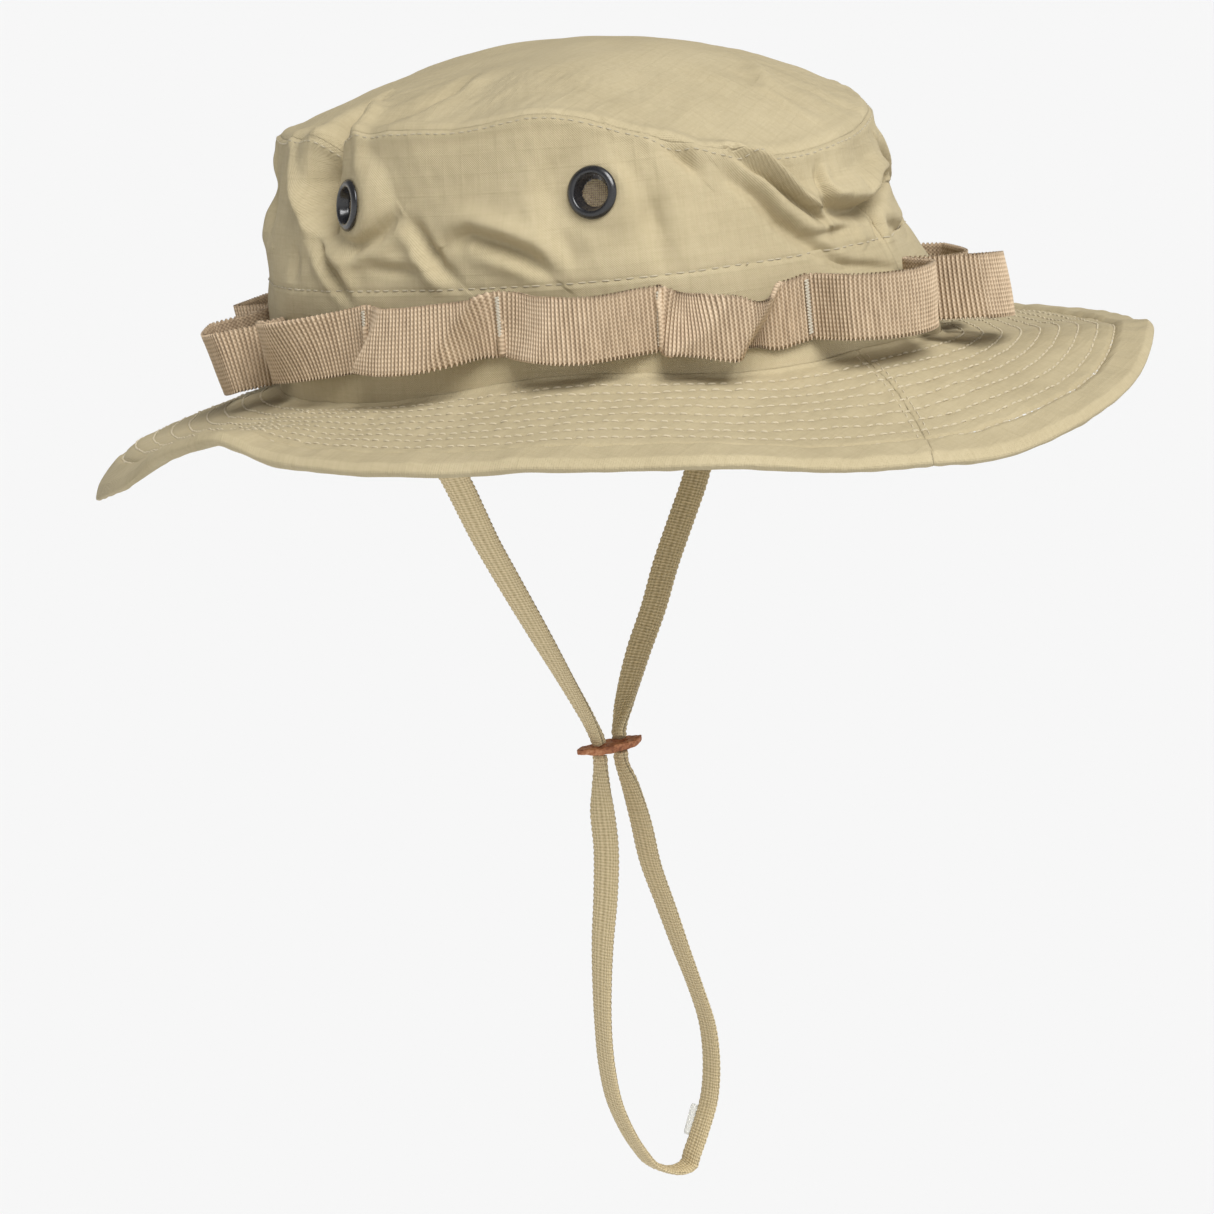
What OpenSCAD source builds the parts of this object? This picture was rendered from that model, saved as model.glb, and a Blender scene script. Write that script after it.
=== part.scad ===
// Boonie hat: soft crown, stitched brim, looped foliage band, screened vents and a chin cord with a slider.
// +X is the front, +Y the wearer's left and +Z up. The origin is the middle of the head opening, level with
// the seam that joins the crown to the brim.

/* [Head opening] */
// Length of the crown at the brim seam, front to back
opening_length = 206; // [195:1:220]
// Width of the crown at the brim seam, side to side
opening_width = 169; // [160:1:180]

/* [Crown] */
// Height of the crown's side wall
crown_height = 79; // [76:1:95]
// How far the tip rises above the top of the side wall
tip_rise = 17; // [8:1:28]
// How far the side wall leans in at its top
crown_taper = 9; // [2:1:14]
// How far the front of the crown has sunk and leans in
front_slump = 16; // [0:1:18]
// Thickness of the crown cloth
cloth = 0.8; // [0.5:0.1:1]
// Height of the sweatband
sweatband_height = 35; // [25:1:40]

/* [Brim] */
// Width of the brim from the crown seam to its edge
brim_width = 62; // [45:1:75]
// Width of the plain rim outside the stiffener
rim_width = 12; // [8:1:16]
// Thickness of each brim cloth
brim_cloth = 0.6; // [0.5:0.1:1]
// Thickness of the brim's stiffener
stiffener = 0.7; // [0.4:0.1:1.5]

/* [Foliage band] */
// Width of the webbing
band_width = 18; // [15:1:25]
// Thickness of the webbing
band_thickness = 1.3; // [0.8:0.1:2]
// Height of the webbing's lower edge above the brim seam, along the left side
band_height = 10; // [8:1:12]

/* [Vents] */
// Height of the vents above the brim seam
vent_height = 58.5; // [55:0.5:62]
// How far round from the middle of each side a vent sits
vent_spread = 24; // [18:1:30]
// How far behind the middle of each side the pair of vents sits
vent_shift = 4; // [0:1:8]
// Radius of the eyelet's flange
vent_flange_r = 7.4; // [6:0.1:8.5]
// Radius of the eyelet's barrel
vent_barrel_r = 4.9; // [4:0.1:5.5]

/* [Chin cord] */
// Width of the flat braided cord
cord_width = 9; // [6:0.5:10]
// Thickness of the flat braided cord
cord_thickness = 2.2; // [1.5:0.1:3]
// Length of the leather slider
slider_length = 23; // [20:1:30]
// Width of the leather slider
slider_width = 9; // [8:1:14]
// Thickness of the leather slider
slider_thickness = 3.4; // [2.5:0.1:4]

/* [Hidden] */

KHAKI = [0.76, 0.70, 0.55];
TAN = [0.70, 0.61, 0.50];
$fn = 48;

half_length = opening_length / 2;
half_width = opening_width / 2;

// ---- shape rules shared by the cloth pieces ----

// Angle between -180 and 180 that points the same way
function wrapped(a) = a - 360 * floor((a + 180) / 360);

// 1 at the angle mid, falling to nothing a few widths away
function bell(a, mid, width) = exp(-pow(wrapped(a - mid) / width, 2));

// Height of the seam between the side wall and the tip
function seam_height(a) =
    crown_height - front_slump * bell(a, 335, wrapped(a - 335) < 0 ? 32 : 42)
    - 0.4 * front_slump * bell(a, 30, 35) - 3.5 * bell(a, 205, 45) + 4 * bell(a, 293, 14);

// Height of the brim seam: the soft crown is pulled up a little on the right side and at the front
function base_rise(a) = 7.5 * bell(a, 292, 27) + 4.5 * bell(a, 350, 25);

// Share of the front's lean at the share v of the wall's height: none low down, all of it above the middle
function lean_share(v) = v < 0.35 ? 0 : sin(90 * min((v - 0.35) / 0.3, 1));

// How far the side wall stands out from the brim seam's ellipse, at the share v of its height
function wall_out(a, v) =
    -crown_taper * pow(max(v, 0), 1.6)
    - 0.4 * front_slump * bell(a, 20, 40) * lean_share(v)
    + sin(180 * v) * (1.2 * sin(5 * a + 40) + 2.5 * bell(a, 200, 50));

// A point on the side wall, at the angle a and height z, moved in by inset
function wall_point(a, z, inset) =
    let (out = wall_out(a, z / seam_height(a)) - inset)
    [(half_length + out) * cos(a), (half_width + out) * sin(a), z];

// Outward direction of the side wall, from its neighbours
function wall_normal(a, z) =
    let (along = wall_point(a + 2, z, 0) - wall_point(a - 2, z, 0))
    let (up = wall_point(a, z + 2, 0) - wall_point(a, z - 2, 0))
    let (n = cross(along, up))
    n / norm(n);

// A point on the tip, at the share r of the way out to its seam, lowered by inset
function tip_point(a, r, inset) =
    let (out = wall_out(a, 1))
    [
        (half_length + out) * r * cos(a),
        (half_width + out) * r * sin(a),
        crown_height + (seam_height(a) - crown_height) * r * r + tip_rise * (1 - r * r) - inset
    ];

// How far the brim's edge hangs below the brim seam: most at the back and just right of the front,
// least on the right side
function edge_drop(a) =
    5 + 13 * bell(a, 192, 46) - 7.5 * bell(a, 252, 13) + 3 * bell(a, 278, 12)
    + 13 * bell(a, 340, 28) - 5 * bell(a, 20, 10) + 5 * bell(a, 95, 25);

// Where across the brim the roll of its rim starts, how far it takes the edge down, and how far in
curl_start = 44;
curl_drop = 9;
curl_pull = 2.5;

// Share by which the rim rolls down, at the back on the right side only
function rim_curl(a, w) = bell(a, 212, 24) * pow(max(w - curl_start, 0) / (brim_width - curl_start), 1.5);

// How far out the sloping brim reaches, as a share of its width
brim_reach = 0.985;

// A point on the brim's middle surface, at the angle a and width w, raised by lift
function brim_point(a, w, lift) =
    let (across = [cos(a) / half_length, sin(a) / half_width])
    let (out = across / norm(across))
    let (reach = brim_reach * w - curl_pull * rim_curl(a, w))
    [
        half_length * cos(a) + reach * out[0],
        half_width * sin(a) + reach * out[1],
        lift + base_rise(a) * (1 - w / brim_width) - edge_drop(a) * pow(w / brim_width, 1.1)
            - curl_drop * rim_curl(a, w)
    ];

// ---- closed solids from rows of points ----

// A closed skin between two equal grids, each a list of rows. Seen from outside on the face's side,
// a row runs from left to right and the next row is above it
module slab(face, back, ring = false) {
    rows = len(face);
    cols = len(face[0]);
    count = rows * cols;
    points = concat([for (row = face) each row], [for (row = back) each row]);
    last = ring ? cols - 1 : cols - 2;
    function at(r, c) = r * cols + c % cols;
    quads = [for (r = [0 : rows - 2]) for (c = [0 : last])
        [at(r, c), at(r + 1, c), at(r + 1, c + 1), at(r, c + 1)]];
    faces = concat(
        quads,
        [for (q = quads) [q[3] + count, q[2] + count, q[1] + count, q[0] + count]],
        [for (c = [0 : last]) [at(0, c), at(0, c + 1), at(0, c + 1) + count, at(0, c) + count]],
        [for (c = [0 : last]) let (r = rows - 1)
            [at(r, c + 1), at(r, c), at(r, c) + count, at(r, c + 1) + count]],
        ring ? [] : [for (r = [0 : rows - 2])
            [at(r + 1, 0), at(r, 0), at(r, 0) + count, at(r + 1, 0) + count]],
        ring ? [] : [for (r = [0 : rows - 2]) let (c = cols - 1)
            [at(r, c), at(r + 1, c), at(r + 1, c) + count, at(r, c) + count]]
    );
    polyhedron(points, faces, convexity = 8);
}

// Evenly spaced numbers from low to high
function steps(low, high, count) = [for (i = [0 : count]) low + (high - low) * i / count];

// A patch of cloth that follows the side wall between two angles, two heights and two insets
module wall_patch(from, to, low, high, outer, inner, cols = 36, rows = 1) {
    ring = to - from >= 360;
    angles = ring ? steps(from, to - (to - from) / cols, cols - 1) : steps(from, to, cols);
    // low and high are each a share, 0 at the brim seam and 1 at the tip seam, plus a height above it;
    // the rise of the brim seam fades out by the top of the sweatband
    function height(a, s) =
        s[0] * seam_height(a) + (1 - s[0]) * base_rise(a) * max(0, 1 - s[1] / sweatband_height) + s[1];
    function grid(inset) = [for (t = steps(0, 1, rows)) [for (a = angles)
        wall_point(a, height(a, low) * (1 - t) + height(a, high) * t, inset)]];
    slab(grid(outer), grid(inner), ring);
}

// ---- crown ----

vent_angles = [
    270 + vent_shift - vent_spread, 270 + vent_shift + vent_spread,
    90 - vent_shift - vent_spread, 90 - vent_shift + vent_spread
];

// Places its children at a vent, with +Z pointing out of the crown
module at_vent(i) {
    a = vent_angles[i];
    n = wall_normal(a, vent_height);
    translate(wall_point(a, vent_height, 0))
        rotate([0, acos(n[2]), atan2(n[1], n[0])])
            children();
}

// One side of the crown, with the two holes for its vents
module crown_side(from, vents) {
    color(KHAKI) difference() {
        wall_patch(from, from + 179.9, [0, 0], [1, -0.1], 0, cloth, rows = 9);
        for (i = vents) at_vent(i) cylinder(h = 8, r = vent_barrel_r + 0.1, center = true);
    }
}

module crown_side_left() crown_side(0.05, [2, 3]);
module crown_side_right() crown_side(180.05, [0, 1]);

// The oval tip, a shallow dome
module crown_top() {
    cols = 48;
    shares = [1, 0.9, 0.76, 0.6, 0.4, 0.2];
    count = cols * len(shares);
    angles = [for (c = [0 : cols - 1]) c * 360 / cols];
    function grid(inset) = [for (s = shares) for (a = angles) tip_point(a, s, inset)];
    points = concat(grid(-cloth), [tip_point(0, 0, -cloth)], grid(0), [tip_point(0, 0, 0)]);
    under = count + 1;
    inner = count - cols;
    function at(r, c) = r * cols + c % cols;
    quads = [for (r = [0 : len(shares) - 2]) for (c = [0 : cols - 1])
        [at(r, c), at(r + 1, c), at(r + 1, c + 1), at(r, c + 1)]];
    cap = [for (c = [0 : cols - 1]) [inner + c, count, inner + (c + 1) % cols]];
    faces = concat(
        quads,
        cap,
        [for (q = quads) [q[3] + under, q[2] + under, q[1] + under, q[0] + under]],
        [for (t = cap) [t[2] + under, t[1] + under, t[0] + under]],
        [for (c = [0 : cols - 1]) [at(0, c), at(0, c + 1), at(0, c + 1) + under, at(0, c) + under]]
    );
    color(KHAKI) polyhedron(points, faces, convexity = 4);
}

tape_outer = cloth + 0.2;
tape_inner = cloth + 0.8;

module tip_seam_tape() color(KHAKI) wall_patch(0, 360, [1, -5.5], [1, -0.8], tape_outer, tape_inner, 72);

// Tape over the upright seam at one end of the crown
module upright_tape(a) {
    color(KHAKI) wall_patch(a - 4, a + 4, [0, sweatband_height + 2], [1, -7], tape_outer, tape_inner, 6, 4);
}

module front_seam_tape() upright_tape(0);
module back_seam_tape() upright_tape(180);

band_inset = cloth + 0.3;
band_depth = 1.2;

module sweatband() {
    color(KHAKI)
        wall_patch(0, 360, [0, 0.3], [0, sweatband_height], band_inset, band_inset + band_depth, 72, 4);
}

module size_label() {
    label_inset = band_inset + band_depth + 0.25;
    color("white") wall_patch(172, 188, [0, 10], [0, 28], label_inset, label_inset + 0.4, 8);
}

// ---- brim ----

stiffener_edge = brim_width - rim_width;
ply_gap = 0.2;
upper_low = stiffener / 2 + ply_gap;

// A layer of the brim between two angles, from width low to width high
module brim_ply(from, to, low, high, under, top, cols, rows = 5) {
    ring = to - from >= 360;
    angles = ring ? steps(from, to - (to - from) / cols, cols - 1) : steps(from, to, cols);
    function grid(lift) = [for (w = steps(low, high, rows)) [for (a = angles) brim_point(a, w, lift)]];
    slab(grid(under), grid(top), ring);
}

// Half of one brim cloth; the seams between the halves lie just beside the front and the back
seam_angle = -22;

module brim_half(from, under) {
    color(KHAKI) brim_ply(from + 0.05, from + 179.95, 0.2, brim_width, under, under + brim_cloth, 40);
}

module brim_upper_left() brim_half(seam_angle, upper_low);
module brim_upper_right() brim_half(seam_angle + 180, upper_low);
module brim_lower_left() brim_half(seam_angle, -upper_low - brim_cloth);
module brim_lower_right() brim_half(seam_angle + 180, -upper_low - brim_cloth);

module brim_stiffener() {
    color("white")
        brim_ply(seam_angle, seam_angle + 360, 2, stiffener_edge, -stiffener / 2, stiffener / 2, 80, 4);
}

// ---- foliage band ----

// How far each loop of the webbing stands out, counted from the first tack round by the left side
loop_bulge = [10, 11, 10, 9, 11, 12, 14, 17, 11, 10, 11, 12, 17, 21];

// How far the middle of each loop hangs below its tacks
loop_sag = [1, 1, 0, 0, 0, 0, 2, 5, 1, 1, 1, 3, 1, 0];

// How far the webbing's lower edge is raised at each tack
tack_lift = [-4, -3, 0, 0, 0, 0, -1, -2, -2, 3, 6, 4, 2, 1];

// Share of a loop's length that lies flat against the crown beside each tack
tack_flat = 0.04;

loop_step = 360 / len(loop_bulge);
first_tack = 24.2;
band_clearance = 0.3;

// How far the webbing lies out where it is tacked, clear of the wall at its whole height
function tack_out(a) =
    let (heights = steps(band_height - 4, band_height + band_width + 6, 5))
    band_clearance + max([for (z = heights) wall_out(a, z / seam_height(a))]);

// Height of the webbing's lower edge, t turns of a loop past the first tack
function band_low(t) =
    let (i = floor(t) % len(loop_bulge))
    let (next = (i + 1) % len(loop_bulge))
    let (f = t - floor(t))
    band_height + tack_lift[i] * (1 - f) + tack_lift[next] * f - loop_sag[i] * loop_share(f);

// Outline of a loop between two tacks: 0 at both, 1 in the middle, with steep ends
function loop_share(t) = pow(sin(180 * min(max((t - tack_flat) / (1 - 2 * tack_flat), 0), 1)), 0.6);

// A point on the webbing, up from its lower edge and thick out from its inner face
function band_point(t, up, thick) =
    let (a = first_tack + t * loop_step)
    let (i = floor(t) % len(loop_bulge))
    let (share = loop_share(t - floor(t)))
    let (out = tack_out(a) + loop_bulge[i] * share + thick)
    [(half_length + out) * cos(a), (half_width + out) * sin(a), band_low(t) + up];

module foliage_band() {
    shares = [0, 0.04, 0.07, 0.12, 0.2, 0.33, 0.5, 0.67, 0.8, 0.88, 0.93, 0.96];
    turns = [for (i = [0 : len(loop_bulge) - 1]) for (s = shares) i + s];
    function grid(thick) = [for (up = [0, band_width]) [for (t = turns) band_point(t, up, thick)]];
    color(TAN) slab(grid(band_thickness), grid(0), true);
}

// A bar of thread over the webbing at each tack
module band_tacks() {
    tack_height = band_width - 3;
    color("ivory") for (i = [0 : len(loop_bulge) - 1]) {
        a = first_tack + i * loop_step;
        across = [half_width * cos(a), half_length * sin(a)];
        translate(band_point(i, band_width / 2, band_thickness + 0.15))
            rotate([0, 0, atan2(across[1], across[0])])
                translate([0, -0.7, -tack_height / 2])
                    cube([0.5, 1.4, tack_height]);
    }
}

// ---- vents ----

// Enamelled eyelet: a domed flange outside and a barrel through the cloth
module vent_eyelet(i) {
    barrel_in = vent_barrel_r - 0.5;
    color([0.12, 0.12, 0.12]) at_vent(i) rotate_extrude() polygon([
        [barrel_in, -2.2], [vent_barrel_r, -2.2], [vent_barrel_r, 0.25], [vent_flange_r, 0.1],
        [vent_flange_r, 0.5], [vent_flange_r - 0.9, 1.3], [vent_barrel_r + 0.6, 1.4], [barrel_in, 0.6]
    ]);
}

// Ring that the barrel is set over, inside the crown
module vent_washer(i) {
    color([0.2, 0.2, 0.2]) at_vent(i) translate([0, 0, -1.9]) rotate_extrude()
        translate([vent_barrel_r + 0.05, 0]) square([2, 0.45]);
}

// Round of woven wire held inside the barrel
module vent_screen(i) {
    color([0.45, 0.4, 0.33]) at_vent(i) translate([0, 0, -1.2]) cylinder(h = 0.3, r = vent_barrel_r - 0.55);
}

// ---- chin cord ----

// The two anchors lie on the axis that the cord swings about
anchor_x = -10;
anchor_y = 78;
swing_z = 3;
slider_at = [-12, -2, -117];
slider_turn = 65;
hole_offset = 3.8;

// Each route point is its place, the direction that the flat cord's width points in, and its width
left_route = [
    [[-10, 78, 7], 0, 9], [[-10, 78, 1], 0, 9], [[-8, 75, -6], 4, 9], [[-5, 70, -14], 10, 9],
    [[-4, 64, -24], 10, 9], [[-4, 57, -34], 10, 9], [[-4, 50, -44], 10, 9], [[-6, 42, -56], 10, 9],
    [[-8, 34, -68], 8, 9], [[-9, 26, -80], 5, 9], [[-11, 18, -92], 0, 9], [[-12, 10, -104], -10, 8],
    [[-11, 3, -112], -25, 5], [[-10.4, 1.4, -115], -25, 4.4]
];
right_route = [
    [[-10, -78, 7], 0, 9], [[-10, -78, 1], 0, 9], [[-12, -75, -6], 8, 9], [[-15, -69, -14], 20, 9],
    [[-16, -61, -24], 20, 9], [[-17, -54, -34], 15, 9], [[-18, -47, -44], 10, 9], [[-18, -39, -56], 6, 9],
    [[-17, -32, -68], 0, 9], [[-16, -25, -80], -8, 9], [[-15, -18, -92], -16, 8.5],
    [[-14, -11, -104], -22, 7.5], [[-13.6, -6.6, -112], -25, 5], [[-13.6, -5.4, -115], -25, 4.4]
];
loop_route = [
    [[-13.6, -5.4, -119], -25, 4.4], [[-13.5, -6, -123], -25, 6], [[-13.5, -7.5, -135], -5, 9],
    [[-13, -8.5, -148], 0, 9], [[-14, -10, -162], -4, 9], [[-15.5, -12, -176], -12, 9],
    [[-16.5, -13.5, -190], -20, 9], [[-17, -14.5, -203], -25, 9], [[-17.5, -14, -215], -25, 9],
    [[-17.5, -12, -227], -25, 9], [[-16.5, -8, -238], -25, 9], [[-15, -4, -246], -25, 9],
    [[-13, -1, -251], -25, 9], [[-9.5, 4.5, -254.5], -25, 9], [[-6.5, 8.5, -254], -25, 9],
    [[-5, 10, -250], -25, 9], [[-3, 13, -243], -25, 9], [[-1.5, 17.5, -234], -25, 9],
    [[-1, 20, -223], -25, 9], [[-1.5, 20.5, -211], -25, 9], [[-3, 18, -198], -25, 9],
    [[-4.5, 14.5, -185], -20, 9], [[-6, 11, -171], -15, 9], [[-7.5, 7, -156], -12, 9],
    [[-7.5, 4, -142], -12, 9], [[-9, 2.5, -130], -16, 8], [[-10.4, 1.4, -123], -25, 6],
    [[-10.4, 1.4, -119], -25, 4.4]
];

// Flat tube through a route, with eight sides and a ring at each point
module flat_cord(route) {
    last = len(route) - 1;
    sides = 8;
    corners = [for (i = [0 : sides - 1]) [cos(45 * i + 22.5), sin(45 * i + 22.5)] / cos(22.5)];
    function place(i) = route[i][0];
    function along(i) = let (d = place(min(i + 1, last)) - place(max(i - 1, 0))) d / norm(d);
    function wide(i) =
        let (w = [cos(route[i][1]), sin(route[i][1]), 0])
        let (flat = w - (w * along(i)) * along(i))
        flat / norm(flat);
    function ring(i) = let (w = wide(i)) let (d = cross(along(i), w))
        [for (c = corners) place(i) + w * c[0] * route[i][2] / 2 + d * c[1] * cord_thickness / 2];
    points = [for (i = [0 : last]) each ring(i)];
    faces = concat(
        [[for (s = [0 : sides - 1]) s]],
        [[for (s = [sides - 1 : -1 : 0]) last * sides + s]],
        [for (i = [0 : last - 1]) for (s = [0 : sides - 1])
            let (next = (s + 1) % sides)
            [i * sides + next, i * sides + s, (i + 1) * sides + s, (i + 1) * sides + next]]
    );
    polyhedron(points, faces, convexity = 6);
}

module chin_cord_left() color(KHAKI) flat_cord(left_route);
module chin_cord_right() color(KHAKI) flat_cord(right_route);
module chin_cord_loop() color(KHAKI) flat_cord(loop_route);

anchor_gap = 0.3;
anchor_face = anchor_y + cord_thickness / 2 + anchor_gap;
anchor_depth = 1.2;

// Folded end of the cord, sewn flat against the sweatband and round about the axis that the cord swings on;
// side is 1 on the left and -1 on the right
module cord_anchor(side) {
    color(KHAKI) translate([anchor_x, side * (anchor_face + anchor_depth / 2), swing_z])
        rotate([90, 0, 0]) {
            translate([-cord_width / 2, 0, -anchor_depth / 2]) cube([cord_width, 9.5, anchor_depth]);
            cylinder(h = anchor_depth, r = cord_width / 2, center = true);
        }
}

module cord_anchor_left() cord_anchor(1);
module cord_anchor_right() cord_anchor(-1);

// Two short rows of thread across each folded end
module anchor_tacks() {
    color("ivory") for (side = [-1, 1]) for (z = [9.6, 11.4])
        translate([anchor_x - 3, side * anchor_face - (side > 0 ? 0.5 : 0), z])
            cube([6, 0.5, 0.8]);
}

// Clear tip on the cord's end, lying beside the left side of the loop
module cord_end_tip() {
    color([0.9, 0.9, 0.88]) translate([-8.3, 16.2, -241.6]) rotate([-24, 10, 0])
        cylinder(h = 9, r = 1.2, center = true);
}

// Leather keeper with a hole for each strand
module cord_slider() {
    straight = slider_length - slider_width;
    color([0.55, 0.3, 0.2]) translate(slider_at) rotate([0, 0, slider_turn])
        difference() {
            union() {
                translate([-straight / 2, -slider_width / 2, -slider_thickness / 2])
                    cube([straight, slider_width, slider_thickness]);
                for (side = [-1, 1])
                    translate([side * straight / 2, 0, 0])
                        cylinder(h = slider_thickness, r = slider_width / 2, center = true);
            }
            for (side = [-1, 1])
                translate([side * hole_offset, 0, 0])
                    cylinder(h = 2 * slider_thickness, r = 2.4, center = true);
        }
}

crown_top();
crown_side_left();
crown_side_right();
tip_seam_tape();
front_seam_tape();
back_seam_tape();
sweatband();
size_label();
brim_upper_left();
brim_upper_right();
brim_stiffener();
brim_lower_left();
brim_lower_right();
foliage_band();
band_tacks();
vent_eyelet(0);  // vent_eyelet_1
vent_eyelet(1);  // vent_eyelet_2
vent_eyelet(2);  // vent_eyelet_3
vent_eyelet(3);  // vent_eyelet_4
vent_washer(0);  // vent_washer_1
vent_washer(1);  // vent_washer_2
vent_washer(2);  // vent_washer_3
vent_washer(3);  // vent_washer_4
vent_screen(0);  // vent_screen_1
vent_screen(1);  // vent_screen_2
vent_screen(2);  // vent_screen_3
vent_screen(3);  // vent_screen_4
cord_anchor_left();
cord_anchor_right();
anchor_tacks();
chin_cord_left();
chin_cord_right();
chin_cord_loop();
cord_end_tip();
cord_slider();
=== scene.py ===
import math

import bpy
import numpy as np
from mathutils import Matrix, Vector


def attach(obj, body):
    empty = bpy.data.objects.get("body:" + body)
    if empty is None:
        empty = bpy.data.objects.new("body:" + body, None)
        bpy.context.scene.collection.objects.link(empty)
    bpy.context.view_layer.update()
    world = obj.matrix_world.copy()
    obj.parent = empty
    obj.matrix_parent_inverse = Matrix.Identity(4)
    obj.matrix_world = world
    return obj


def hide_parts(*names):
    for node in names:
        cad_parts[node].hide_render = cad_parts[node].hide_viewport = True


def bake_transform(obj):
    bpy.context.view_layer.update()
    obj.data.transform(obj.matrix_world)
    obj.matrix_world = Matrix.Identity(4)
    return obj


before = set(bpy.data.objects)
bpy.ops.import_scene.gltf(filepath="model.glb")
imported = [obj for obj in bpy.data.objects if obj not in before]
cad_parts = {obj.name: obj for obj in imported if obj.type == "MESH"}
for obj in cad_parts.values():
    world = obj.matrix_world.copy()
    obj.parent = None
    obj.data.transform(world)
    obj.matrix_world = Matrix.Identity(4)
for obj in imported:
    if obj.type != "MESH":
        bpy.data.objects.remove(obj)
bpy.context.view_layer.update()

# The hat is worked out in millimetres in the row frame: +X is the front, +Y the wearer's left, +Z up.
# Angles round the hat are in degrees, with 0 at the front and 270 on the wearer's right.
MM = 0.001
rng = np.random.default_rng(7)


# ---- camera, floor and light ----

# Where the camera stands: degrees round from the right side, degrees up and degrees of roll, then metres
CAMERA_TURN = (33, 11, -6)
CAMERA_DISTANCE = 1.2
LOOKED_AT = (-0.009, 0, -0.074)
LENS = 118
SENSOR = 36
# Brightness of the sky at the horizon, where it is the backdrop, and overhead
HORIZON = 0.93
ZENITH = 0.15
# The softbox: where it shines from, its strength and its spread in degrees
SOFTBOX_FROM = (0.9, -0.53, 1.15)
SOFTBOX_STRENGTH = 3.6
SOFTBOX_SPREAD = 40
# The floor: half its width and its height in metres, and the grey that makes it as bright as the backdrop
FLOOR_SIDE = 60
FLOOR_HEIGHT = -1.0
FLOOR_GREY = 0.859


def add_camera():
    azimuth, elevation, roll = (math.radians(v) for v in CAMERA_TURN)
    back = Vector((
        math.sin(azimuth) * math.cos(elevation),
        -math.cos(azimuth) * math.cos(elevation),
        math.sin(elevation),
    ))
    level = (-back).cross(Vector((0, 0, 1))).normalized()
    upright = level.cross(-back)
    right = level * math.cos(roll) + upright * math.sin(roll)
    up = upright * math.cos(roll) - level * math.sin(roll)
    data = bpy.data.cameras.new("camera")
    data.lens = LENS
    data.sensor_width = SENSOR
    camera = bpy.data.objects.new("camera", data)
    bpy.context.collection.objects.link(camera)
    place = Vector(LOOKED_AT) + back * CAMERA_DISTANCE
    turn = Matrix((right, up, back)).transposed()
    camera.matrix_world = Matrix.Translation(place) @ turn.to_4x4()
    bpy.context.scene.camera = camera


def add_stage():
    world = bpy.data.worlds.new("world")
    world.use_nodes = True
    tree = world.node_tree
    split = tree.nodes.new("ShaderNodeSeparateXYZ")
    tree.links.new(tree.nodes.new("ShaderNodeTexCoord").outputs["Generated"], split.inputs[0])
    sky = tree.nodes.new("ShaderNodeMapRange")
    tree.links.new(split.outputs["Z"], sky.inputs["Value"])
    for name, value in (("From Min", 0.12), ("From Max", 0.5), ("To Min", HORIZON), ("To Max", ZENITH)):
        sky.inputs[name].default_value = value
    background = tree.nodes["Background"]
    tree.links.new(sky.outputs["Result"], background.inputs["Color"])
    background.inputs["Strength"].default_value = 1.0
    bpy.context.scene.world = world
    bpy.context.scene.view_settings.view_transform = "Standard"
    sun = bpy.data.lights.new("softbox", "SUN")
    sun.energy = SOFTBOX_STRENGTH
    sun.angle = math.radians(SOFTBOX_SPREAD)
    light = bpy.data.objects.new("softbox", sun)
    light.rotation_euler = (-Vector(SOFTBOX_FROM)).to_track_quat("-Z", "Y").to_euler()
    bpy.context.collection.objects.link(light)
    around = ((-1, -1), (1, -1), (1, 1), (-1, 1))
    corners = [(x * FLOOR_SIDE, y * FLOOR_SIDE, FLOOR_HEIGHT) for x, y in around]
    floor = mesh_object("floor", corners, [(0, 1, 2, 3)], 1)
    grey = Shader("pale_floor", (FLOOR_GREY,) * 3, 1.0)
    grey.surface.inputs["Specular IOR Level"].default_value = 0.0
    floor.data.materials.append(grey.material)


# ---- meshes ----

# How deep a stitch's ends sink into the cloth, and how unevenly a row is spaced, as a share of its pitch
STITCH_SINK = 0.1
STITCH_JITTER = 0.12


def mesh_object(name, points, quads, scale=MM, uv=None):
    """A smooth mesh object from points and four-cornered faces; uv has a pair for each point."""
    points = np.asarray(points, float) * scale
    quads = np.asarray(quads, np.int32)
    mesh = bpy.data.meshes.new(name)
    mesh.vertices.add(len(points))
    mesh.vertices.foreach_set("co", points.ravel())
    mesh.loops.add(quads.size)
    mesh.loops.foreach_set("vertex_index", quads.ravel())
    mesh.polygons.add(len(quads))
    mesh.polygons.foreach_set("loop_start", np.arange(0, quads.size, 4))
    mesh.polygons.foreach_set("use_smooth", np.ones(len(quads), bool))
    if uv is not None:
        layer = mesh.uv_layers.new(name="UVMap")
        layer.data.foreach_set("uv", np.asarray(uv, float)[quads.ravel()].ravel())
    mesh.update(calc_edges=True)
    obj = bpy.data.objects.new(name, mesh)
    bpy.context.collection.objects.link(obj)
    return obj


def grid_faces(rows, cols, ring=False):
    """Quads of a grid of points, rows times cols, counted along each row."""
    last = cols if ring else cols - 1
    r, c = np.meshgrid(np.arange(rows - 1), np.arange(last), indexing="ij")
    n = (c + 1) % cols
    return np.stack([r * cols + c, r * cols + n, (r + 1) * cols + n, (r + 1) * cols + c], -1).reshape(-1, 4)


def unit(v):
    return v / (np.linalg.norm(v, axis=-1, keepdims=True) + 1e-12)


def run_along(line):
    """How far along a line of points each of them lies."""
    return np.concatenate([[0], np.cumsum(np.linalg.norm(np.diff(line, axis=0), axis=1))])


def points_at(line, run, at):
    """The points at such distances along a line."""
    return np.stack([np.interp(at, run, column) for column in line.T], -1)


def even_turns(sides):
    """Angles in radians of so many points round a circle."""
    return np.linspace(0, 2 * np.pi, sides, endpoint=False)


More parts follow.
